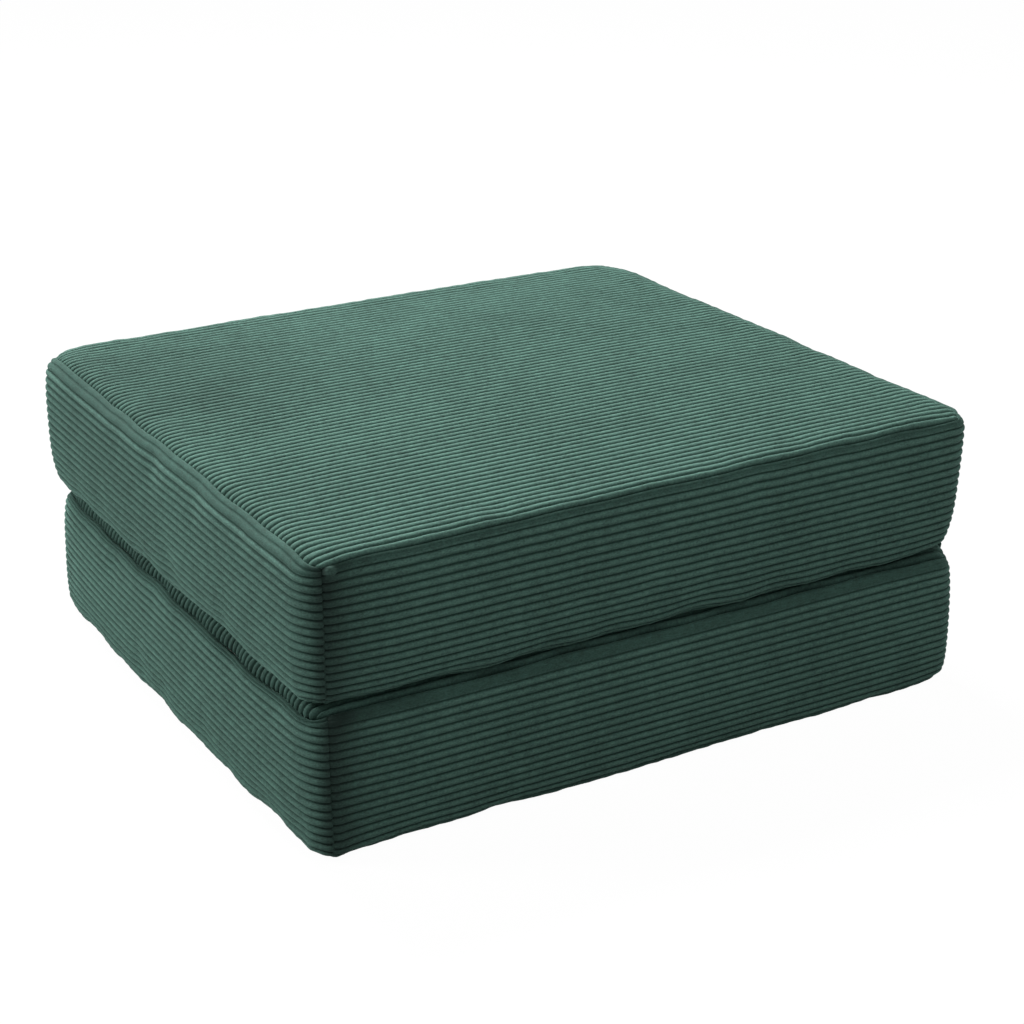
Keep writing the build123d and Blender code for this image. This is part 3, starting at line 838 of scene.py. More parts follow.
def strip_rows(cushion, top, base, pressed_above, first, closer):
    """Phases of a strip's rows from its top down, and their climbs. A row's level is a parabola
    of its phase. Past the outermost level wales the rows are spread up to the strip's edges."""
    upper = min(pressed_above, top.min() - EDGE_ROOM)
    lower = max(-(cushion.upright + cushion.roll) + FOOT_ROOM, base.max() + EDGE_ROOM)
    span = (pressed_above - np.array([top.max(), base.min()])) / first
    limits = (1 - np.sqrt(1 - 4 * closer * span / first)) * first / (2 * closer)
    phases = wale_rows(*limits)[::-1]
    level = (pressed_above - first * phases + closer * phases**2)[:, None] * np.ones_like(top)
    climb = level + (np.maximum(level - upper, 0) * (top - top.max()) / (top.max() - upper)
                     + np.maximum(lower - level, 0) * (base - base.min()) / (lower - base.min()))
    return phases, climb


def side_piece(cushion, start, end, low, high, levels, form, seams, sunk=0.0):
    """A strip of boxing between two stations and two climbs, with level wales: its points, cloth
    coordinates, crest shares, which painted shade lowers in the pressed band and the well, and
    painted shades.

    low and high are climbs, or None for the panels' seams. levels are the depth of the first
    clear valley, the pitch there, how much less each next one is, and how hollow the pressed band
    above the first is, how much painted shade darkens it and how flat it is. seams says which of
    the strip's edges, of low, high, start and end, dip into a seam. sunk is how far in the whole
    strip is sewn.
    """
    first_valley, first, less, hollow, band_shade, flat = levels
    stations = side_stations(cushion, start, end)
    out_x = perimeter_place(cushion, stations)[1][:, 0]
    top = cushion.side_reach(1, out_x) if high is None else np.full_like(out_x, high)
    base = -cushion.side_reach(-1, out_x) if low is None else np.full_like(out_x, low)
    pressed_above = cushion.upright + cushion.roll - first_valley
    phases, climb = strip_rows(cushion, top, base, pressed_above, first, less / 2)
    station = np.broadcast_to(stations, climb.shape)
    out = perimeter_place(cushion, station)[1]
    place = side_place(cushion, station, climb) - sunk * np.pad(out, ((0, 0), (0, 0), (0, 1)))
    place = place + side_shift(cushion, station, climb, out_x)
    if cushion.side == "lower":
        place[..., 2] = np.maximum(place[..., 2], cushion.base)
    normals = grid_normals(place)
    wale = wale_share(phases)[:, None] * np.ones_like(out_x)
    amount = np.ones_like(climb)
    pressed, dip, pucker = np.zeros_like(climb), np.zeros_like(climb), np.zeros_like(climb)
    for edge, to_seam in (("high", top - climb), ("low", climb - base)):
        if edge not in seams:
            continue
        if edge == "high":
            pressed = eased(climb, pressed_above + PRESS_START, pressed_above + PRESS_END)
            amount = amount * (1 - flat * pressed)
            dip = hollow * pressed
        else:
            amount = amount * (1 - SEAM_FLAT * fading(np.maximum(to_seam, 0), STITCH_WIDTH))
        dip = np.maximum(dip, seam_dip(to_seam, form))
        counts, seed, width = STRIP_PUCKERS[edge]
        pucker += ripple(station, cushion.lap, counts, seed) * STRIP_PUCKER * beside(to_seam, width)
    capped = cushion.side == "upper" and at_near_seam(cushion, start, form)
    puff = np.hypot(station - start - PUFF_PLACE[0], climb - top + PUFF_PLACE[1]) / PUFF_RADIUS
    puff = np.exp(-puff**4) * capped
    pucker += PUFF_HEIGHT * puff
    amount = amount * (1 - PUFF_FLAT * puff)
    ends = [(edge, spot) for edge, spot in (("start", start), ("end", end)) if edge in seams]
    falls, well_shade, painted_shade = strip_ends(cushion, ends, station, climb, top, puff, form)
    points = cloth_surface(place - falls + pucker[..., None] * normals, normals, wale, amount,
                           dip, form)
    if cushion.side == "lower":
        points[..., 2] = np.maximum(points[..., 2], 0.0)
    # painted shade: the well round the puff and the pressed band lower the crest share towards the
    # valley colour
    clear = (1 - well_shade * (1 - puff)) * (1 - band_shade * pressed * (1 - puff))
    crest = (1 - amount * (1 - wale)) * clear * (1 - PUFF_DULL * puff)
    # painted shade beside the front left seam darkens the nap; the puff clears part of it
    shade = 1 - np.minimum(painted_shade, DARKEST_PAINTED_SHADE) * (1 - PUFF_CLEAR * puff)
    cloth = np.stack([station, climb], -1)
    points, (cloth, crest, shade) = tucked(points, normals, (cloth, crest, shade))
    return points, cloth, crest, shade


def at_near_seam(cushion, station, form):
    """Whether a station is the front left corner seam's."""
    return np.isclose(station % cushion.lap, corner_station(cushion, 3, form) % cushion.lap)


def strip_ends(cushion, ends, station, climb, top, puff, form):
    """What the upright seams do at a strip's ends: how far its points fall inwards, how much
    painted shade darkens the wales in the well at the top of the upper front left seam, and how
    much painted shade lies beside that seam."""
    falls, well_shade, painted_shade = np.zeros(climb.shape + (3,)), np.zeros_like(climb), np.zeros_like(climb)
    for edge, spot in ends:
        away = np.abs(station - spot)
        fall = form.corner_seam_depth * fading(away, CORNER_STITCH_WIDTH)
        if at_near_seam(cushion, spot, form):
            painted_shade = painted_shade + seam_painted_shade(cushion, away, climb, top, edge == "start")
            if cushion.side == "upper":
                well = bell(away, WELL_SIZE[0]) * bell(climb - top, WELL_SIZE[1])
                fall = fall + WELL_DEPTH * well * (1 - puff)
                # painted shade in the well round the puff, which lowers the crest share there
                well_shade = np.maximum(well_shade, well)
        out = perimeter_place(cushion, np.array(spot))[1]
        falls = falls + fall[..., None] * np.append(out, 0)
    return falls, well_shade, painted_shade


def seam_painted_shade(cushion, away, climb, top, on_front):
    """How much painted shade darkens the cloth beside the front left seam: a narrow bell curve of
    the distance from it on the left strip, and two wider ones on the front, strongest at the top.
    On the lower front a painted shadow of the overhang darkens it further."""
    if not on_front:
        return LEFT_PAINTED_SHADE[0] * bell(away, LEFT_PAINTED_SHADE[1])
    painted_shade = sum(depth * bell(away, width) for depth, width in FRONT_PAINTED_SHADES)
    painted_shade = painted_shade * (1 - PAINTED_SHADE_FALL + PAINTED_SHADE_FALL * np.clip(climb / top, -1, 1))
    if cushion.side == "lower":
        high, wide, strength = OVERHANG_SHADOW
        painted_shade = painted_shade + strength * bell(top - climb, high) * bell(away, wide)
    return painted_shade


def strip_object(name, grids, material):
    """One object from grids of points, cloth coordinates, crest shares and shades."""
    faces, total = [], 0
    for points, *_ in grids:
        faces.append(grid_faces(numbered(points, total)))
        total += points[..., 0].size
    points, cloth, crest, shade = (
        np.concatenate([part.reshape(-1, *part.shape[2:]) for part in parts])
        for parts in zip(*grids))
    return new_piece(name, points, np.concatenate(faces), material, cloth,
                     {"wale": crest, "shade": shade})


# Shader groups and materials


def shader_group(name, inputs, outputs):
    """A node group, its inputs and its output node. The inputs are kinds of sockets by name, or
    the default of a number, and the outputs are kinds."""
    group = bpy.data.node_groups.new(name, "ShaderNodeTree")
    for label, kind in inputs.items():
        number = isinstance(kind, float)
        socket = group.interface.new_socket(
            label, in_out="INPUT", socket_type=f"NodeSocket{'Float' if number else kind}")
        if number:
            socket.default_value = kind
    for label, kind in outputs.items():
        group.interface.new_socket(label, in_out="OUTPUT", socket_type=f"NodeSocket{kind}")
    return group, group.nodes.new("NodeGroupInput").outputs, group.nodes.new("NodeGroupOutput")


def feed(tree, node, values):
    """Puts sockets or plain values on a node's inputs, by name or number."""
    for label, value in values.items():
        if isinstance(value, bpy.types.NodeSocket):
            tree.links.new(value, node.inputs[label])
        else:
            node.inputs[label].default_value = value


def new_node(tree, kind, values=None, **settings):
    """A node with its settings, and with sockets or plain values on its inputs."""
    node = tree.nodes.new(f"ShaderNode{kind}")
    for name, value in settings.items():
        setattr(node, name, value)
    feed(tree, node, values or {})
    return node


def maths(tree, operation, *values):
    """A Math node fed with sockets or plain numbers."""
    return new_node(tree, "Math", dict(enumerate(values)), operation=operation).outputs[0]


def noise(tree, vector, scale, detail=2.0, roughness=0.5):
    """A Noise Texture's factor at a vector."""
    return new_node(tree, "TexNoise", {"Vector": vector, "Scale": scale, "Detail": detail,
                                       "Roughness": roughness}).outputs["Fac"]


def stretched(tree, vector, scale):
    """A vector scaled along each axis by a Mapping node."""
    return new_node(tree, "Mapping", {"Vector": vector, "Scale": scale}).outputs[0]


def mixed(tree, share, first, second, blend="MIX"):
    """A colour Mix node fed with sockets or plain colours."""
    return new_node(tree, "Mix", {0: share, 6: first, 7: second}, data_type="RGBA",
                    blend_type=blend).outputs[2]


def grey(tree, value):
    """A grey colour from a number."""
    return new_node(tree, "CombineColor", {0: value, 1: value, 2: value}).outputs[0]


def pile_group():
    """Corduroy pile: dark valleys, a nap that lies in drifts and is darker round a given place, the
    painted shade that the points carry, and short fibres along the wales."""
    group, given, made = shader_group(
        "corduroy_pile",
        {"Pile": "Color", "Valley": "Color", "Wale": 1.0, "Shade": 1.0, "Cloth": "Vector",
         "Place": "Vector", "Brushed": "Vector"},
        {"Color": "Color", "Roughness": "Float", "Height": "Float"})
    drift = noise(group, given["Place"], 7.0, 3.0, 0.55)
    smudge = noise(group, given["Place"], 26.0, 2.0, 0.6)
    fibres, tufts = (noise(group, stretched(group, given["Cloth"], scale), 1.0, 2.0, 0.6)
                     for scale in (FIBRE_SCALE, TUFT_SCALE))
    nap_and_painted_shade = maths(group, "MULTIPLY_ADD", drift, 0.40, -0.61)
    for pattern, weight in ((smudge, 0.42), (fibres, 1.40), (tufts, 1.00)):
        nap_and_painted_shade = maths(group, "MULTIPLY_ADD", pattern, weight, nap_and_painted_shade)
    for tone in (darkening_round_place(group, given), given["Shade"]):
        nap_and_painted_shade = maths(group, "MULTIPLY", nap_and_painted_shade, tone)
    open_pile = maths(group, "POWER", given["Wale"], 0.75)
    body = mixed(group, open_pile, given["Valley"], given["Pile"])
    feed(group, made, {"Color": mixed(group, 1.0, body, grey(group, nap_and_painted_shade), "MULTIPLY"),
                       "Roughness": maths(group, "MULTIPLY_ADD", tufts, 0.2, 0.74),
                       "Height": maths(group, "MULTIPLY_ADD", tufts, 0.6, fibres)})
    return group


def darkening_round_place(group, given):
    """Tone of the nap: darker round a given place."""
    far = new_node(group, "VectorMath", {0: given["Place"], 1: given["Brushed"]},
                   operation="DISTANCE").outputs["Value"]
    near_edge, far_edge, darkest, lightest = DARKENED_PLACE
    return new_node(group, "MapRange", {0: far, 1: near_edge, 2: far_edge, 3: darkest,
                                        4: lightest}, interpolation_type="SMOOTHSTEP").outputs[0]


def weave_group():
    """Plain weave: two sets of threads crossing, for the tapes."""
    group, given, made = shader_group(
        "tape_weave", {"Thread": "Color", "Count": 1400.0, "Cloth": "Vector"},
        {"Color": "Color", "Height": "Float"})
    split = new_node(group, "SeparateXYZ", {0: given["Cloth"]})
    along, across = (maths(group, "SINE", maths(group, "MULTIPLY", place, given["Count"]))
                     for place in split.outputs[:2])
    height = maths(group, "MULTIPLY_ADD", maths(group, "MULTIPLY", along, across), 0.5, 0.5)
    tone = grey(group, maths(group, "MULTIPLY_ADD", height, 0.5, 0.7))
    feed(group, made, {"Color": mixed(group, 1.0, given["Thread"], tone, "MULTIPLY"),
                       "Height": height})
    return group


def wear_group():
    """Handled paint or plastic: fine grain and faint rubbed patches."""
    group, given, made = shader_group(
        "handled_finish",
        {"Paint": "Color", "Rubbed": "Color", "Grain": 900.0, "Place": "Vector"},
        {"Color": "Color", "Roughness": "Float", "Height": "Float"})
    patches = noise(group, given["Place"], 240.0, 3.0, 0.6)
    rubbed = maths(group, "MULTIPLY", maths(group, "GREATER_THAN", patches, 0.62), 0.5)
    grain = noise(group, given["Place"], given["Grain"])
    feed(group, made, {"Color": mixed(group, rubbed, given["Paint"], given["Rubbed"]),
                       "Roughness": maths(group, "MULTIPLY_ADD", grain, 0.25, 0.28),
                       "Height": grain})
    return group


def new_material(name, roughness=0.8):
    """A material, its node tree and its Principled shader."""
    material = bpy.data.materials.new(name)
    material.use_nodes = True
    shader = material.node_tree.nodes["Principled BSDF"]
    shader.inputs["Roughness"].default_value = roughness
    return material, material.node_tree, shader


def bumped(tree, shader, height, strength, distance):
    """Feeds a height through a Bump node to the shader's normal."""
    bump = new_node(tree, "Bump", {"Strength": strength, "Distance": distance, "Height": height})
    feed(tree, shader, {"Normal": bump.outputs[0]})


def object_place(tree):
    """The place on the object, in metres."""
    return new_node(tree, "TexCoord").outputs["Object"]


def cloth_place(tree):
    """The place on the cloth, in metres, from the piece's UV map."""
    return new_node(tree, "UVMap", uv_map="cloth").outputs["UV"]


def point_share(tree, name):
    """A share that the piece's points carry."""
    return new_node(tree, "Attribute", attribute_name=name).outputs["Fac"]


def corduroy_material(name, finish):
    """Corduroy: pile colour and height from the group, with a soft sheen on the shader."""
    material, tree, shader = new_material(name)
    pile = new_node(tree, "Group", {
        "Pile": finish.corduroy, "Valley": finish.valley, "Brushed": finish.darkened_place,
        "Wale": point_share(tree, "wale"), "Shade": point_share(tree, "shade"),
        "Cloth": cloth_place(tree), "Place": object_place(tree)}, node_tree=pile_group()).outputs
    feed(tree, shader, {"Base Color": pile["Color"], "Roughness": pile["Roughness"],
                        "Specular IOR Level": 0.18, "Sheen Weight": 0.17,
                        "Sheen Roughness": 0.45, "Sheen Tint": (0.50, 0.86, 0.74, 1)})
    bumped(tree, shader, pile["Height"], 0.35, 0.0007)
    return material


def foam_material(name, finish):
    """Open-cell foam: pale, full of small dark cells."""
    material, tree, shader = new_material(name, 0.95)
    cells = new_node(tree, "TexVoronoi", {"Scale": 420.0, "Vector": object_place(tree)})
    depth = cells.outputs["Distance"]
    tone = grey(tree, maths(tree, "MULTIPLY_ADD", depth, 0.35, 0.72))
    feed(tree, shader, {"Base Color": mixed(tree, 1.0, tuple(finish.foam), tone, "MULTIPLY")})
    bumped(tree, shader, depth, 0.5, 0.0008)
    return material


def tape_material(name, finish):
    """Woven polyester tape."""
    material, tree, shader = new_material(name, 0.75)
    weave = new_node(tree, "Group", {"Thread": finish.tape, "Count": 5200.0,
                                     "Cloth": cloth_place(tree)}, node_tree=weave_group()).outputs
    feed(tree, shader, {"Base Color": weave["Color"], "Sheen Weight": 0.15})
    bumped(tree, shader, weave["Height"], 0.4, 0.0002)
    return material


def handled_material(name, paint, rubbed, metallic, coat):
    """Painted metal or moulded plastic with fine grain and rubbed patches."""
    material, tree, shader = new_material(name)
    group = bpy.data.node_groups.get("handled_finish") or wear_group()
    worn = new_node(tree, "Group", {"Paint": paint, "Rubbed": rubbed,
                                    "Place": object_place(tree)}, node_tree=group).outputs
    feed(tree, shader, {"Base Color": worn["Color"], "Roughness": worn["Roughness"],
                        "Metallic": metallic, "Coat Weight": coat})
    bumped(tree, shader, worn["Height"], 0.15, 0.0002)
    return material


def material_for(slot, finish):
    """The material of a slot's finish, made once."""
    name = f"{slot}_finish"
    if name in bpy.data.materials:
        return bpy.data.materials[name]
    plain = {"corduroy": corduroy_material, "foam": foam_material, "zip_tape": tape_material}
    if slot in plain:
        return plain[slot](name, finish)
    if slot == "zip_teeth":
        return handled_material(name, finish.teeth, RUBBED_PLASTIC, 0.0, 0.0)
    return handled_material(name, finish.metal, RUBBED_METAL, 0.35, 0.3)


def dress(piece, side, slot, *nodes):
    """Rides a piece on its section, in place of its nodes, which it hides. The slot is not used."""
    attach(piece, f"{side}_section")
    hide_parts(*nodes)
    return piece


# Operators


class GUESTBED_OT_settle(bpy.types.Operator):
    """Settles a slightly large cloth cover on each foam block by cloth simulation"""

    bl_idname = "guestbed.settle"
    bl_label = "Settle the covers"

    def execute(self, context):
        form = context.scene.guest_bed_covers
        for seed, side in enumerate(SECTIONS):
            settled[side] = settle(Cushion(side, form), form, seed)
        return {"FINISHED"}


def settle(cushion, form, seed):
    """Movement of a coarse cover that is grown a little and pressed out, held at some stitches.
    It is smoothed, and kept below a limit by a hyperbolic tangent."""
    points, faces, grids = cage_of(cushion, CAGE_STEP, CAGE_RINGS)
    mesh = bpy.data.meshes.new("settling")
    mesh.from_pydata(points.tolist(), [], faces.tolist())
    cover = bpy.data.objects.new("settling", mesh)
    bpy.context.scene.collection.objects.link(cover)
    hold(cover.vertex_groups.new(name="held"), grids, np.random.default_rng(seed + 5))
    modifier = cover.modifiers.new("cloth", "CLOTH")
    for name, value in CLOTH_VALUES.items():
        setattr(modifier.settings, name, value)
    modifier.settings.shrink_min = -form.cloth_growth
    modifier.settings.effector_weights.gravity = 0.0
    modifier.point_cache.frame_start, modifier.point_cache.frame_end = 1, SETTLE_FRAMES
    scene = bpy.context.scene
    for step in range(1, SETTLE_FRAMES + 1):
        scene.frame_set(step)
    shape = cover.evaluated_get(bpy.context.evaluated_depsgraph_get())
    moved = np.zeros(len(points) * 3)
    shape.data.vertices.foreach_get("co", moved)
    moved = moved.reshape(-1, 3) - points
    bpy.data.objects.remove(cover)
    bpy.data.meshes.remove(mesh)
    scene.frame_set(1)
    for _ in range(SMOOTHINGS):
        moved = (moved + neighbour_mean(moved, faces)) / 2
    limit = np.full(len(points), SIDE_MOVE)
    for up in (1, -1):
        limit[grids[up]["index"][3:-3, 3:-3]] = PANEL_MOVE
    length = np.maximum(np.linalg.norm(moved, axis=1), TINY)
    moved *= (limit * np.tanh(length / limit) / length)[:, None]
    print("settled", cushion.side, "largest move mm", round(float(length.max()) * 1000, 2))
    return moved, grids


def hold(held, grids, draws):
    """Pins a cover at stitches of its seams that are a few points apart, and less firmly along
    mid-height and over the middles of its panels."""
    rings = grids[0]["index"]
    for seam in (rings[0], rings[-1]):
        step = 0
        while step < len(seam):
            held.add([int(seam[step])], 1.0, "REPLACE")
            step += int(draws.integers(*HELD_APART))
    held.add([int(i) for i in rings[len(rings) // 2][::3]], MIDDLE_HELD, "REPLACE")
    for up in (1, -1):
        inner = grids[up]["index"][4:-4:3, 4:-4:3].ravel()
        held.add([int(i) for i in inner], PANEL_HELD, "REPLACE")


def neighbour_mean(values, faces):
    """Mean of the values at the next points round each point's quads."""
    total, count = np.zeros_like(values), np.zeros((len(values), 1))
    for corner in range(4):
        for step in (1, 3):
            np.add.at(total, faces[:, corner], values[faces[:, (corner + step) % 4]])
            np.add.at(count, faces[:, corner], 1)
    return total / count


class GUESTBED_OT_panels(bpy.types.Operator):
    """Makes the outer and inner cover panels of both sections"""

    bl_idname = "guestbed.panels"
    bl_label = "Cover panels"

    def execute(self, context):
        form, finish = context.scene.guest_bed_covers, context.scene.guest_bed_finish
        cloth = material_for("corduroy", finish)
        for side in SECTIONS:
            for up in (1, -1):
                piece, node = panel_piece(Cushion(side, form), up, form, cloth)
                dress(piece, side, "corduroy", node)
        return {"FINISHED"}


class GUESTBED_OT_boxing(bpy.types.Operator):
    """Makes the boxing strips round both sections, with the parts above, below and past the zips"""

    bl_idname = "guestbed.boxing"
    bl_label = "Boxing strips"

    def execute(self, context):
        form, finish = context.scene.guest_bed_covers, context.scene.guest_bed_finish
        cloth = material_for("corduroy", finish)
        zip_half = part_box("upper_zip_teeth")[1][0] + ZIP_STOP
        for side in SECTIONS:
            cushion = Cushion(side, form)
            corners = [corner_station(cushion, k, form) for k in range(4)]
            front, left = self.levels(side, form)
            for strip, start, end, levels in (
                    ("front", corners[3] - cushion.lap, corners[0], front),
                    ("right", corners[0], corners[1], left),
                    ("left", corners[2], corners[3], left)):
                grid = side_piece(cushion, start, end, None, None, levels, form,
                                  ("low", "high", "start", "end"))
                piece = strip_object(f"{side}_{strip}_boxing_cloth", [grid], cloth)
                dress(piece, side, "corduroy", f"{side}_{strip}_boxing")
            start, end = corners[1], corners[2]
            for where, low, high, seam in (("above", ZIP_OPENING, None, "high"),
                                           ("below", None, -ZIP_OPENING, "low")):
                grid = side_piece(cushion, start, end, low, high, front, form,
                                  ("start", "end", seam))
                piece = strip_object(f"{side}_back_boxing_cloth_{where}_zip", [grid], cloth)
                node = f"{side}_back_boxing_{where}_zip"
                dress(piece, side, "corduroy", node)
            middle = cushion.starts[4] + cushion.straight_x
            grids = [side_piece(cushion, low, high, -ZIP_OPENING, ZIP_OPENING, front, form,
                                (seam,), TAB_SUNK)
                     for low, high, seam in ((start, middle - zip_half, "start"),
                                             (middle + zip_half, end, "end"))]
            piece = strip_object(f"{side}_zip_end_tab_cloth", grids, cloth)
            dress(piece, side, "corduroy", f"{side}_zip_end_tabs")
        return {"FINISHED"}

    def levels(self, side, form):
        """Levels of the wales on the front and back strips, and on the left and right ones."""
        deeper = LOWER_DEEPER if side == "lower" else 0.0
        front = (form.pressed_band + 2 * deeper, form.side_pitch, form.side_gather, *FRONT_BAND)
        left = (form.pressed_band + LEFT_DEEPER + deeper, form.side_pitch + LEFT_WIDER,
                LEFT_GATHER * form.side_gather, *LEFT_BAND)
        return front, left


class GUESTBED_OT_foam(bpy.types.Operator):
    """Makes the foam blocks inside the covers"""

    bl_idname = "guestbed.foam"
    bl_label = "Foam blocks"

    def execute(self, context):
        form, finish = context.scene.guest_bed_covers, context.scene.guest_bed_finish
        material = material_for("foam", finish)
        for side in SECTIONS:
            cushion = Cushion(side, form)
            points, faces, grids = cage_of(cushion, CAGE_STEP, CAGE_RINGS)
            depth = np.full((len(points), 1), FOAM_DEPTH)
            depth[grids[0]["index"][[0, -1]]] = FOAM_SEAM_DEPTH
            points = points - depth * cage_normals(points, faces)
            behind_zip = np.abs(points[:, 2] - cushion.middle) < CHANNEL_HALF
            points[(points[:, 1] > cushion.straight_y) & behind_zip, 1] -= CHANNEL_DEPTH
            piece = new_piece(f"{side}_foam_block", points, faces, material)
            dress(piece, side, "foam", f"{side}_foam_core")
        return {"FINISHED"}


def cage_normals(points, faces):
    """Unit normals at the points of a closed mesh: the sum of its quads' crossed diagonals."""
    across = np.cross(points[faces[:, 2]] - points[faces[:, 0]],
                      points[faces[:, 3]] - points[faces[:, 1]])
    normals = np.zeros_like(points)
    for corner in range(4):
        np.add.at(normals, faces[:, corner], across)
    return normals / np.maximum(np.linalg.norm(normals, axis=1, keepdims=True), TINY)


class GUESTBED_OT_hinge(bpy.types.Operator):
    """Makes the band of corduroy that joins the sections along the fold"""

    bl_idname = "guestbed.hinge"
    bl_label = "Hinge strip"

    def execute(self, context):
        form, finish = context.scene.guest_bed_covers, context.scene.guest_bed_finish
        cloth = material_for("corduroy", finish)
        (_, low_y, low_z), (high_x, high_y, high_z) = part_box("hinge_strip")
        height = high_z - low_z
        phases = wale_rows(0, round(height / (form.wale_pitch * HINGE_PITCH)))
        share, y = np.broadcast_arrays((phases / phases[-1])[:, None],
                                       np.linspace(low_y, high_y, HINGE_COLUMNS))
        wave = ripple(y, high_y - low_y, (5, 9, 14), 12)
        x = high_x - HINGE_SUNK + 4 * share * (1 - share) * (HINGE_BULGE + HINGE_WAVE * wave)
        points = np.stack([x, y, low_z + share * height], -1)
        wale = wale_share(phases)[:, None] * np.ones_like(y)
        amount = eased(np.minimum(share, 1 - share) * height, *HINGE_EDGE)
        depth = form.wale_height * amount * (1 - wale)
        points = points - depth[..., None] * grid_normals(points)
        piece = new_piece("hinge_strip_cloth", points, grid_faces(numbered(points)), cloth,
                          points[..., 1:],
                          {"wale": 1 - amount * (1 - wale), "shade": np.ones_like(wale)})
        wall = piece.modifiers.new("cloth thickness", "SOLIDIFY")
        wall.thickness, wall.offset = HINGE_CLOTH, -1
        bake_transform(piece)
        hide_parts("hinge_strip")
        return {"FINISHED"}


class GUESTBED_OT_zips(bpy.types.Operator):
    """Makes the zip tapes and teeth, and finishes the stops, sliders and pulls"""

    bl_idname = "guestbed.zips"
    bl_label = "Zips"

    def execute(self, context):
        finish = context.scene.guest_bed_finish
        for side in SECTIONS:
            self.tapes(side, material_for("zip_tape", finish))
            self.teeth(side, material_for("zip_teeth", finish))
            for node, material in (("zip_stops", "zip_teeth"), ("zip_slider", "zip_metal"),
                                   ("zip_pull", "zip_metal")):
                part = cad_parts[f"{side}_{node}"]
                part.data.materials.clear()
                part.data.materials.append(material_for(material, finish))
        return {"FINISHED"}

    def tapes(self, side, material):
        """Two flat tapes: a rectangle with eased edges, carried along X."""
        low, high = (np.array(corner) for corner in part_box(f"{side}_zip_tapes"))
        middle, width = (low[2] + high[2]) / 2, (high[2] - low[2]) / 2 - TAPE_GAP
        steps = np.linspace(low[0], high[0], TAPE_STEPS)[:, None]
        rings, faces, total = [], [], 0
        for up in (1, -1):
            y = low[1] + TAPE_OUTLINE[:, 1] * (high[1] - low[1])
            z = middle + up * (TAPE_GAP + TAPE_OUTLINE[:, 0] * width)
            ring = np.stack(np.broadcast_arrays(steps, y, z), -1)
            index = numbered(ring, total)
            total += index.size
            faces += grid_faces(index, flip=up > 0).tolist()
            for end, turned in ((index[0, :-1], up < 0), (index[-1, :-1], up > 0)):
                faces.append((end if turned else end[::-1]).tolist())
            rings.append(ring.reshape(-1, 3))
        points = np.concatenate(rings)
        piece = new_piece(f"{side}_zip_tape_cloth", points, faces, material, points[:, [0, 2]],
                          smooth=False)
        dress(piece, side, "zip_tape", f"{side}_zip_tapes")

    def teeth(self, side, material):
        """The closed chain: in each row a small rounded tooth repeated along X. A tooth is four
        scaled octagons from its root to its tip."""
        low, high = (np.array(corner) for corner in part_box(f"{side}_zip_teeth"))
        tip, depth = (high[2] - low[2]) / 2, (high[1] - low[1]) / 2
        count = int((high[0] - low[0]) / TOOTH_PITCH)
        turn = np.radians(np.arange(8) * 45 + 22.5)
        reach = np.array([TOOTH_ROOT, TOOTH_ROOT + TOOTH_NECK, tip - TOOTH_NOSE, tip])
        scale = TOOTH_SIZES[:, None]
        tooth = np.stack([scale * (TOOTH_HALF * np.cos(turn)), scale * np.sin(turn) * depth,
                          reach[:, None] * np.ones(8)], -1)
        index = numbered(tooth)
        quads = grid_faces(np.concatenate([index, index[:, :1]], 1))
        centre = np.array([0, (low[1] + high[1]) / 2, (low[2] + high[2]) / 2])
        starts = low[0] + TOOTH_PITCH * (np.arange(count) + 0.5)
        rows, faces, total = [], [], 0
        for up in (1, -1):
            row = np.repeat((tooth * np.array([1, 1, up]) + centre)[None], count, 0)
            row[..., 0] += (starts + (TOOTH_PITCH / 2 if up < 0 else 0))[:, None, None]
            offsets = (total + index.size * np.arange(count))[:, None, None]
            caps = np.stack([index[0, ::-1], index[-1]])
            for shell in (quads, caps):
                shell = (shell[None] + offsets).reshape(-1, shell.shape[1])
                faces += (shell if up > 0 else shell[:, ::-1]).tolist()
            rows.append(row.reshape(-1, 3))
            total += index.size * count
        points = np.concatenate(rows)
        points[:, 0] = np.clip(points[:, 0], low[0], high[0])
        piece = new_piece(f"{side}_zip_chain", points, faces, material)
        dress(piece, side, "zip_teeth", f"{side}_zip_teeth")


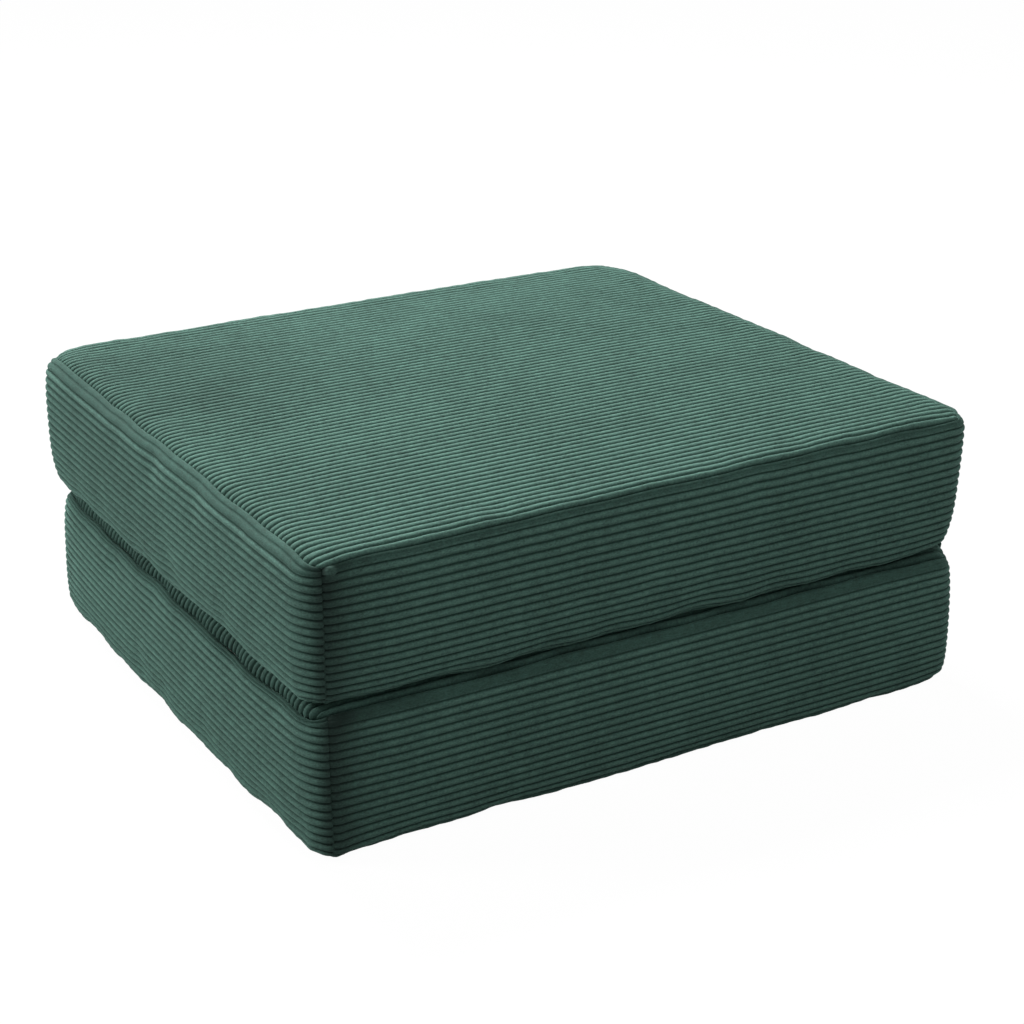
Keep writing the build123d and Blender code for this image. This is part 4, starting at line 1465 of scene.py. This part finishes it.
class GUESTBED_OT_stage(bpy.types.Operator):
    """Makes the camera, the lamps, the sky and the pale floor"""

    bl_idname = "guestbed.stage"
    bl_label = "Studio"

    def execute(self, context):
        studio, scene = context.scene.guest_bed_studio, context.scene
        scene.view_settings.view_transform = "Standard"
        lens = bpy.data.cameras.new("camera")
        lens.lens, lens.sensor_width = studio.lens, 36
        camera = bpy.data.objects.new("camera", lens)
        camera.location = studio.camera_place
        camera.rotation_euler = Euler(
            (np.pi / 2 - studio.camera_elevation, 0, -studio.camera_azimuth))
        scene.collection.objects.link(camera)
        scene.camera = camera
        for name, (place, size) in LAMPS.items():
            self.lamp(name, place, getattr(studio, f"{name}_power"), size)
        self.sky(scene, studio.sky_strength)
        self.floor()
        return {"FINISHED"}

    def lamp(self, name, place, power, size):
        """A square area lamp, turned to the middle of the ottoman."""
        light = bpy.data.lights.new(name, "AREA")
        light.energy, light.size = power, size
        lamp = bpy.data.objects.new(name, light)
        lamp.location = place
        towards = -lamp.location
        towards.z += 0.2
        lamp.rotation_euler = towards.to_track_quat("-Z", "Y").to_euler()
        bpy.context.scene.collection.objects.link(lamp)

    def white_in_view(self, tree, shader, kind, strength, white_share, target):
        """White to the camera and in reflections, and the given shader to everything else."""
        paths = new_node(tree, "LightPath").outputs
        seen = maths(tree, "MAXIMUM", paths["Is Camera Ray"], paths["Is Glossy Ray"])
        seen = maths(tree, "MAXIMUM", seen, paths["Is Transmission Ray"])
        white = new_node(tree, kind, {"Color": WHITE, "Strength": strength})
        mix = new_node(tree, "MixShader", {0: maths(tree, "MULTIPLY", seen, white_share),
                                           1: shader.outputs[0], 2: white.outputs[0]})
        feed(tree, target, {"Surface": mix.outputs[0]})

    def sky(self, scene, strength):
        """An even grey sky."""
        world = bpy.data.worlds.new("sky")
        world.use_nodes = True
        tree = world.node_tree
        light = tree.nodes["Background"]
        feed(tree, light, {"Color": WHITE, "Strength": strength})
        self.white_in_view(tree, light, "Background", 1.0, 1.0, tree.nodes["World Output"])
        scene.world = world

    def floor(self):
        """A wide pale floor that keeps a soft shadow."""
        points = np.array([(x * FLOOR_HALF, y * FLOOR_HALF, -FLOOR_DROP)
                           for x, y in ((-1, -1), (1, -1), (1, 1), (-1, 1))])
        material, tree, shader = new_material("floor", 0.9)
        feed(tree, shader, {"Base Color": (0.30, 0.30, 0.30, 1), "Specular IOR Level": 0.0})
        self.white_in_view(tree, shader, "Emission", *FLOOR_WHITE, tree.nodes["Material Output"])
        new_piece("floor", points, np.array([[0, 1, 2, 3]]), material, smooth=False)


class GUESTBED_PT_sidebar(bpy.types.Panel):
    """Sizes and colours of the guest bed, and a button for each group of its pieces"""

    bl_label = "Guest Bed"
    bl_idname = "GUESTBED_PT_sidebar"
    bl_space_type = "VIEW_3D"
    bl_region_type = "UI"
    bl_category = "Guest Bed"

    def draw(self, context):
        for group in (context.scene.guest_bed_covers, context.scene.guest_bed_finish,
                      context.scene.guest_bed_studio):
            box = self.layout.box()
            for name in group.bl_rna.properties.keys():
                if name not in ("rna_type", "name"):
                    box.prop(group, name)
        for operator in OPERATORS:
            self.layout.operator(operator.bl_idname)


OPERATORS = (GUESTBED_OT_settle, GUESTBED_OT_panels, GUESTBED_OT_boxing, GUESTBED_OT_foam,
             GUESTBED_OT_hinge, GUESTBED_OT_zips, GUESTBED_OT_stage)
SETTINGS = {"guest_bed_covers": CoverSettings, "guest_bed_finish": FinishSettings,
            "guest_bed_studio": StudioSettings}


def register():
    for group in SETTINGS.values():
        bpy.utils.register_class(group)
    for name, group in SETTINGS.items():
        setattr(bpy.types.Scene, name, bpy.props.PointerProperty(type=group))
    for operator in OPERATORS:
        bpy.utils.register_class(operator)
    bpy.utils.register_class(GUESTBED_PT_sidebar)


def unregister():
    bpy.utils.unregister_class(GUESTBED_PT_sidebar)
    for operator in reversed(OPERATORS):
        bpy.utils.unregister_class(operator)
    for name, group in SETTINGS.items():
        delattr(bpy.types.Scene, name)
        bpy.utils.unregister_class(group)


def main():
    """Builds everything in order."""
    register()
    bpy.ops.guestbed.stage()
    bpy.ops.guestbed.settle()
    bpy.ops.guestbed.panels()
    bpy.ops.guestbed.boxing()
    bpy.ops.guestbed.foam()
    bpy.ops.guestbed.hinge()
    bpy.ops.guestbed.zips()


if __name__ == "__main__":
    main()
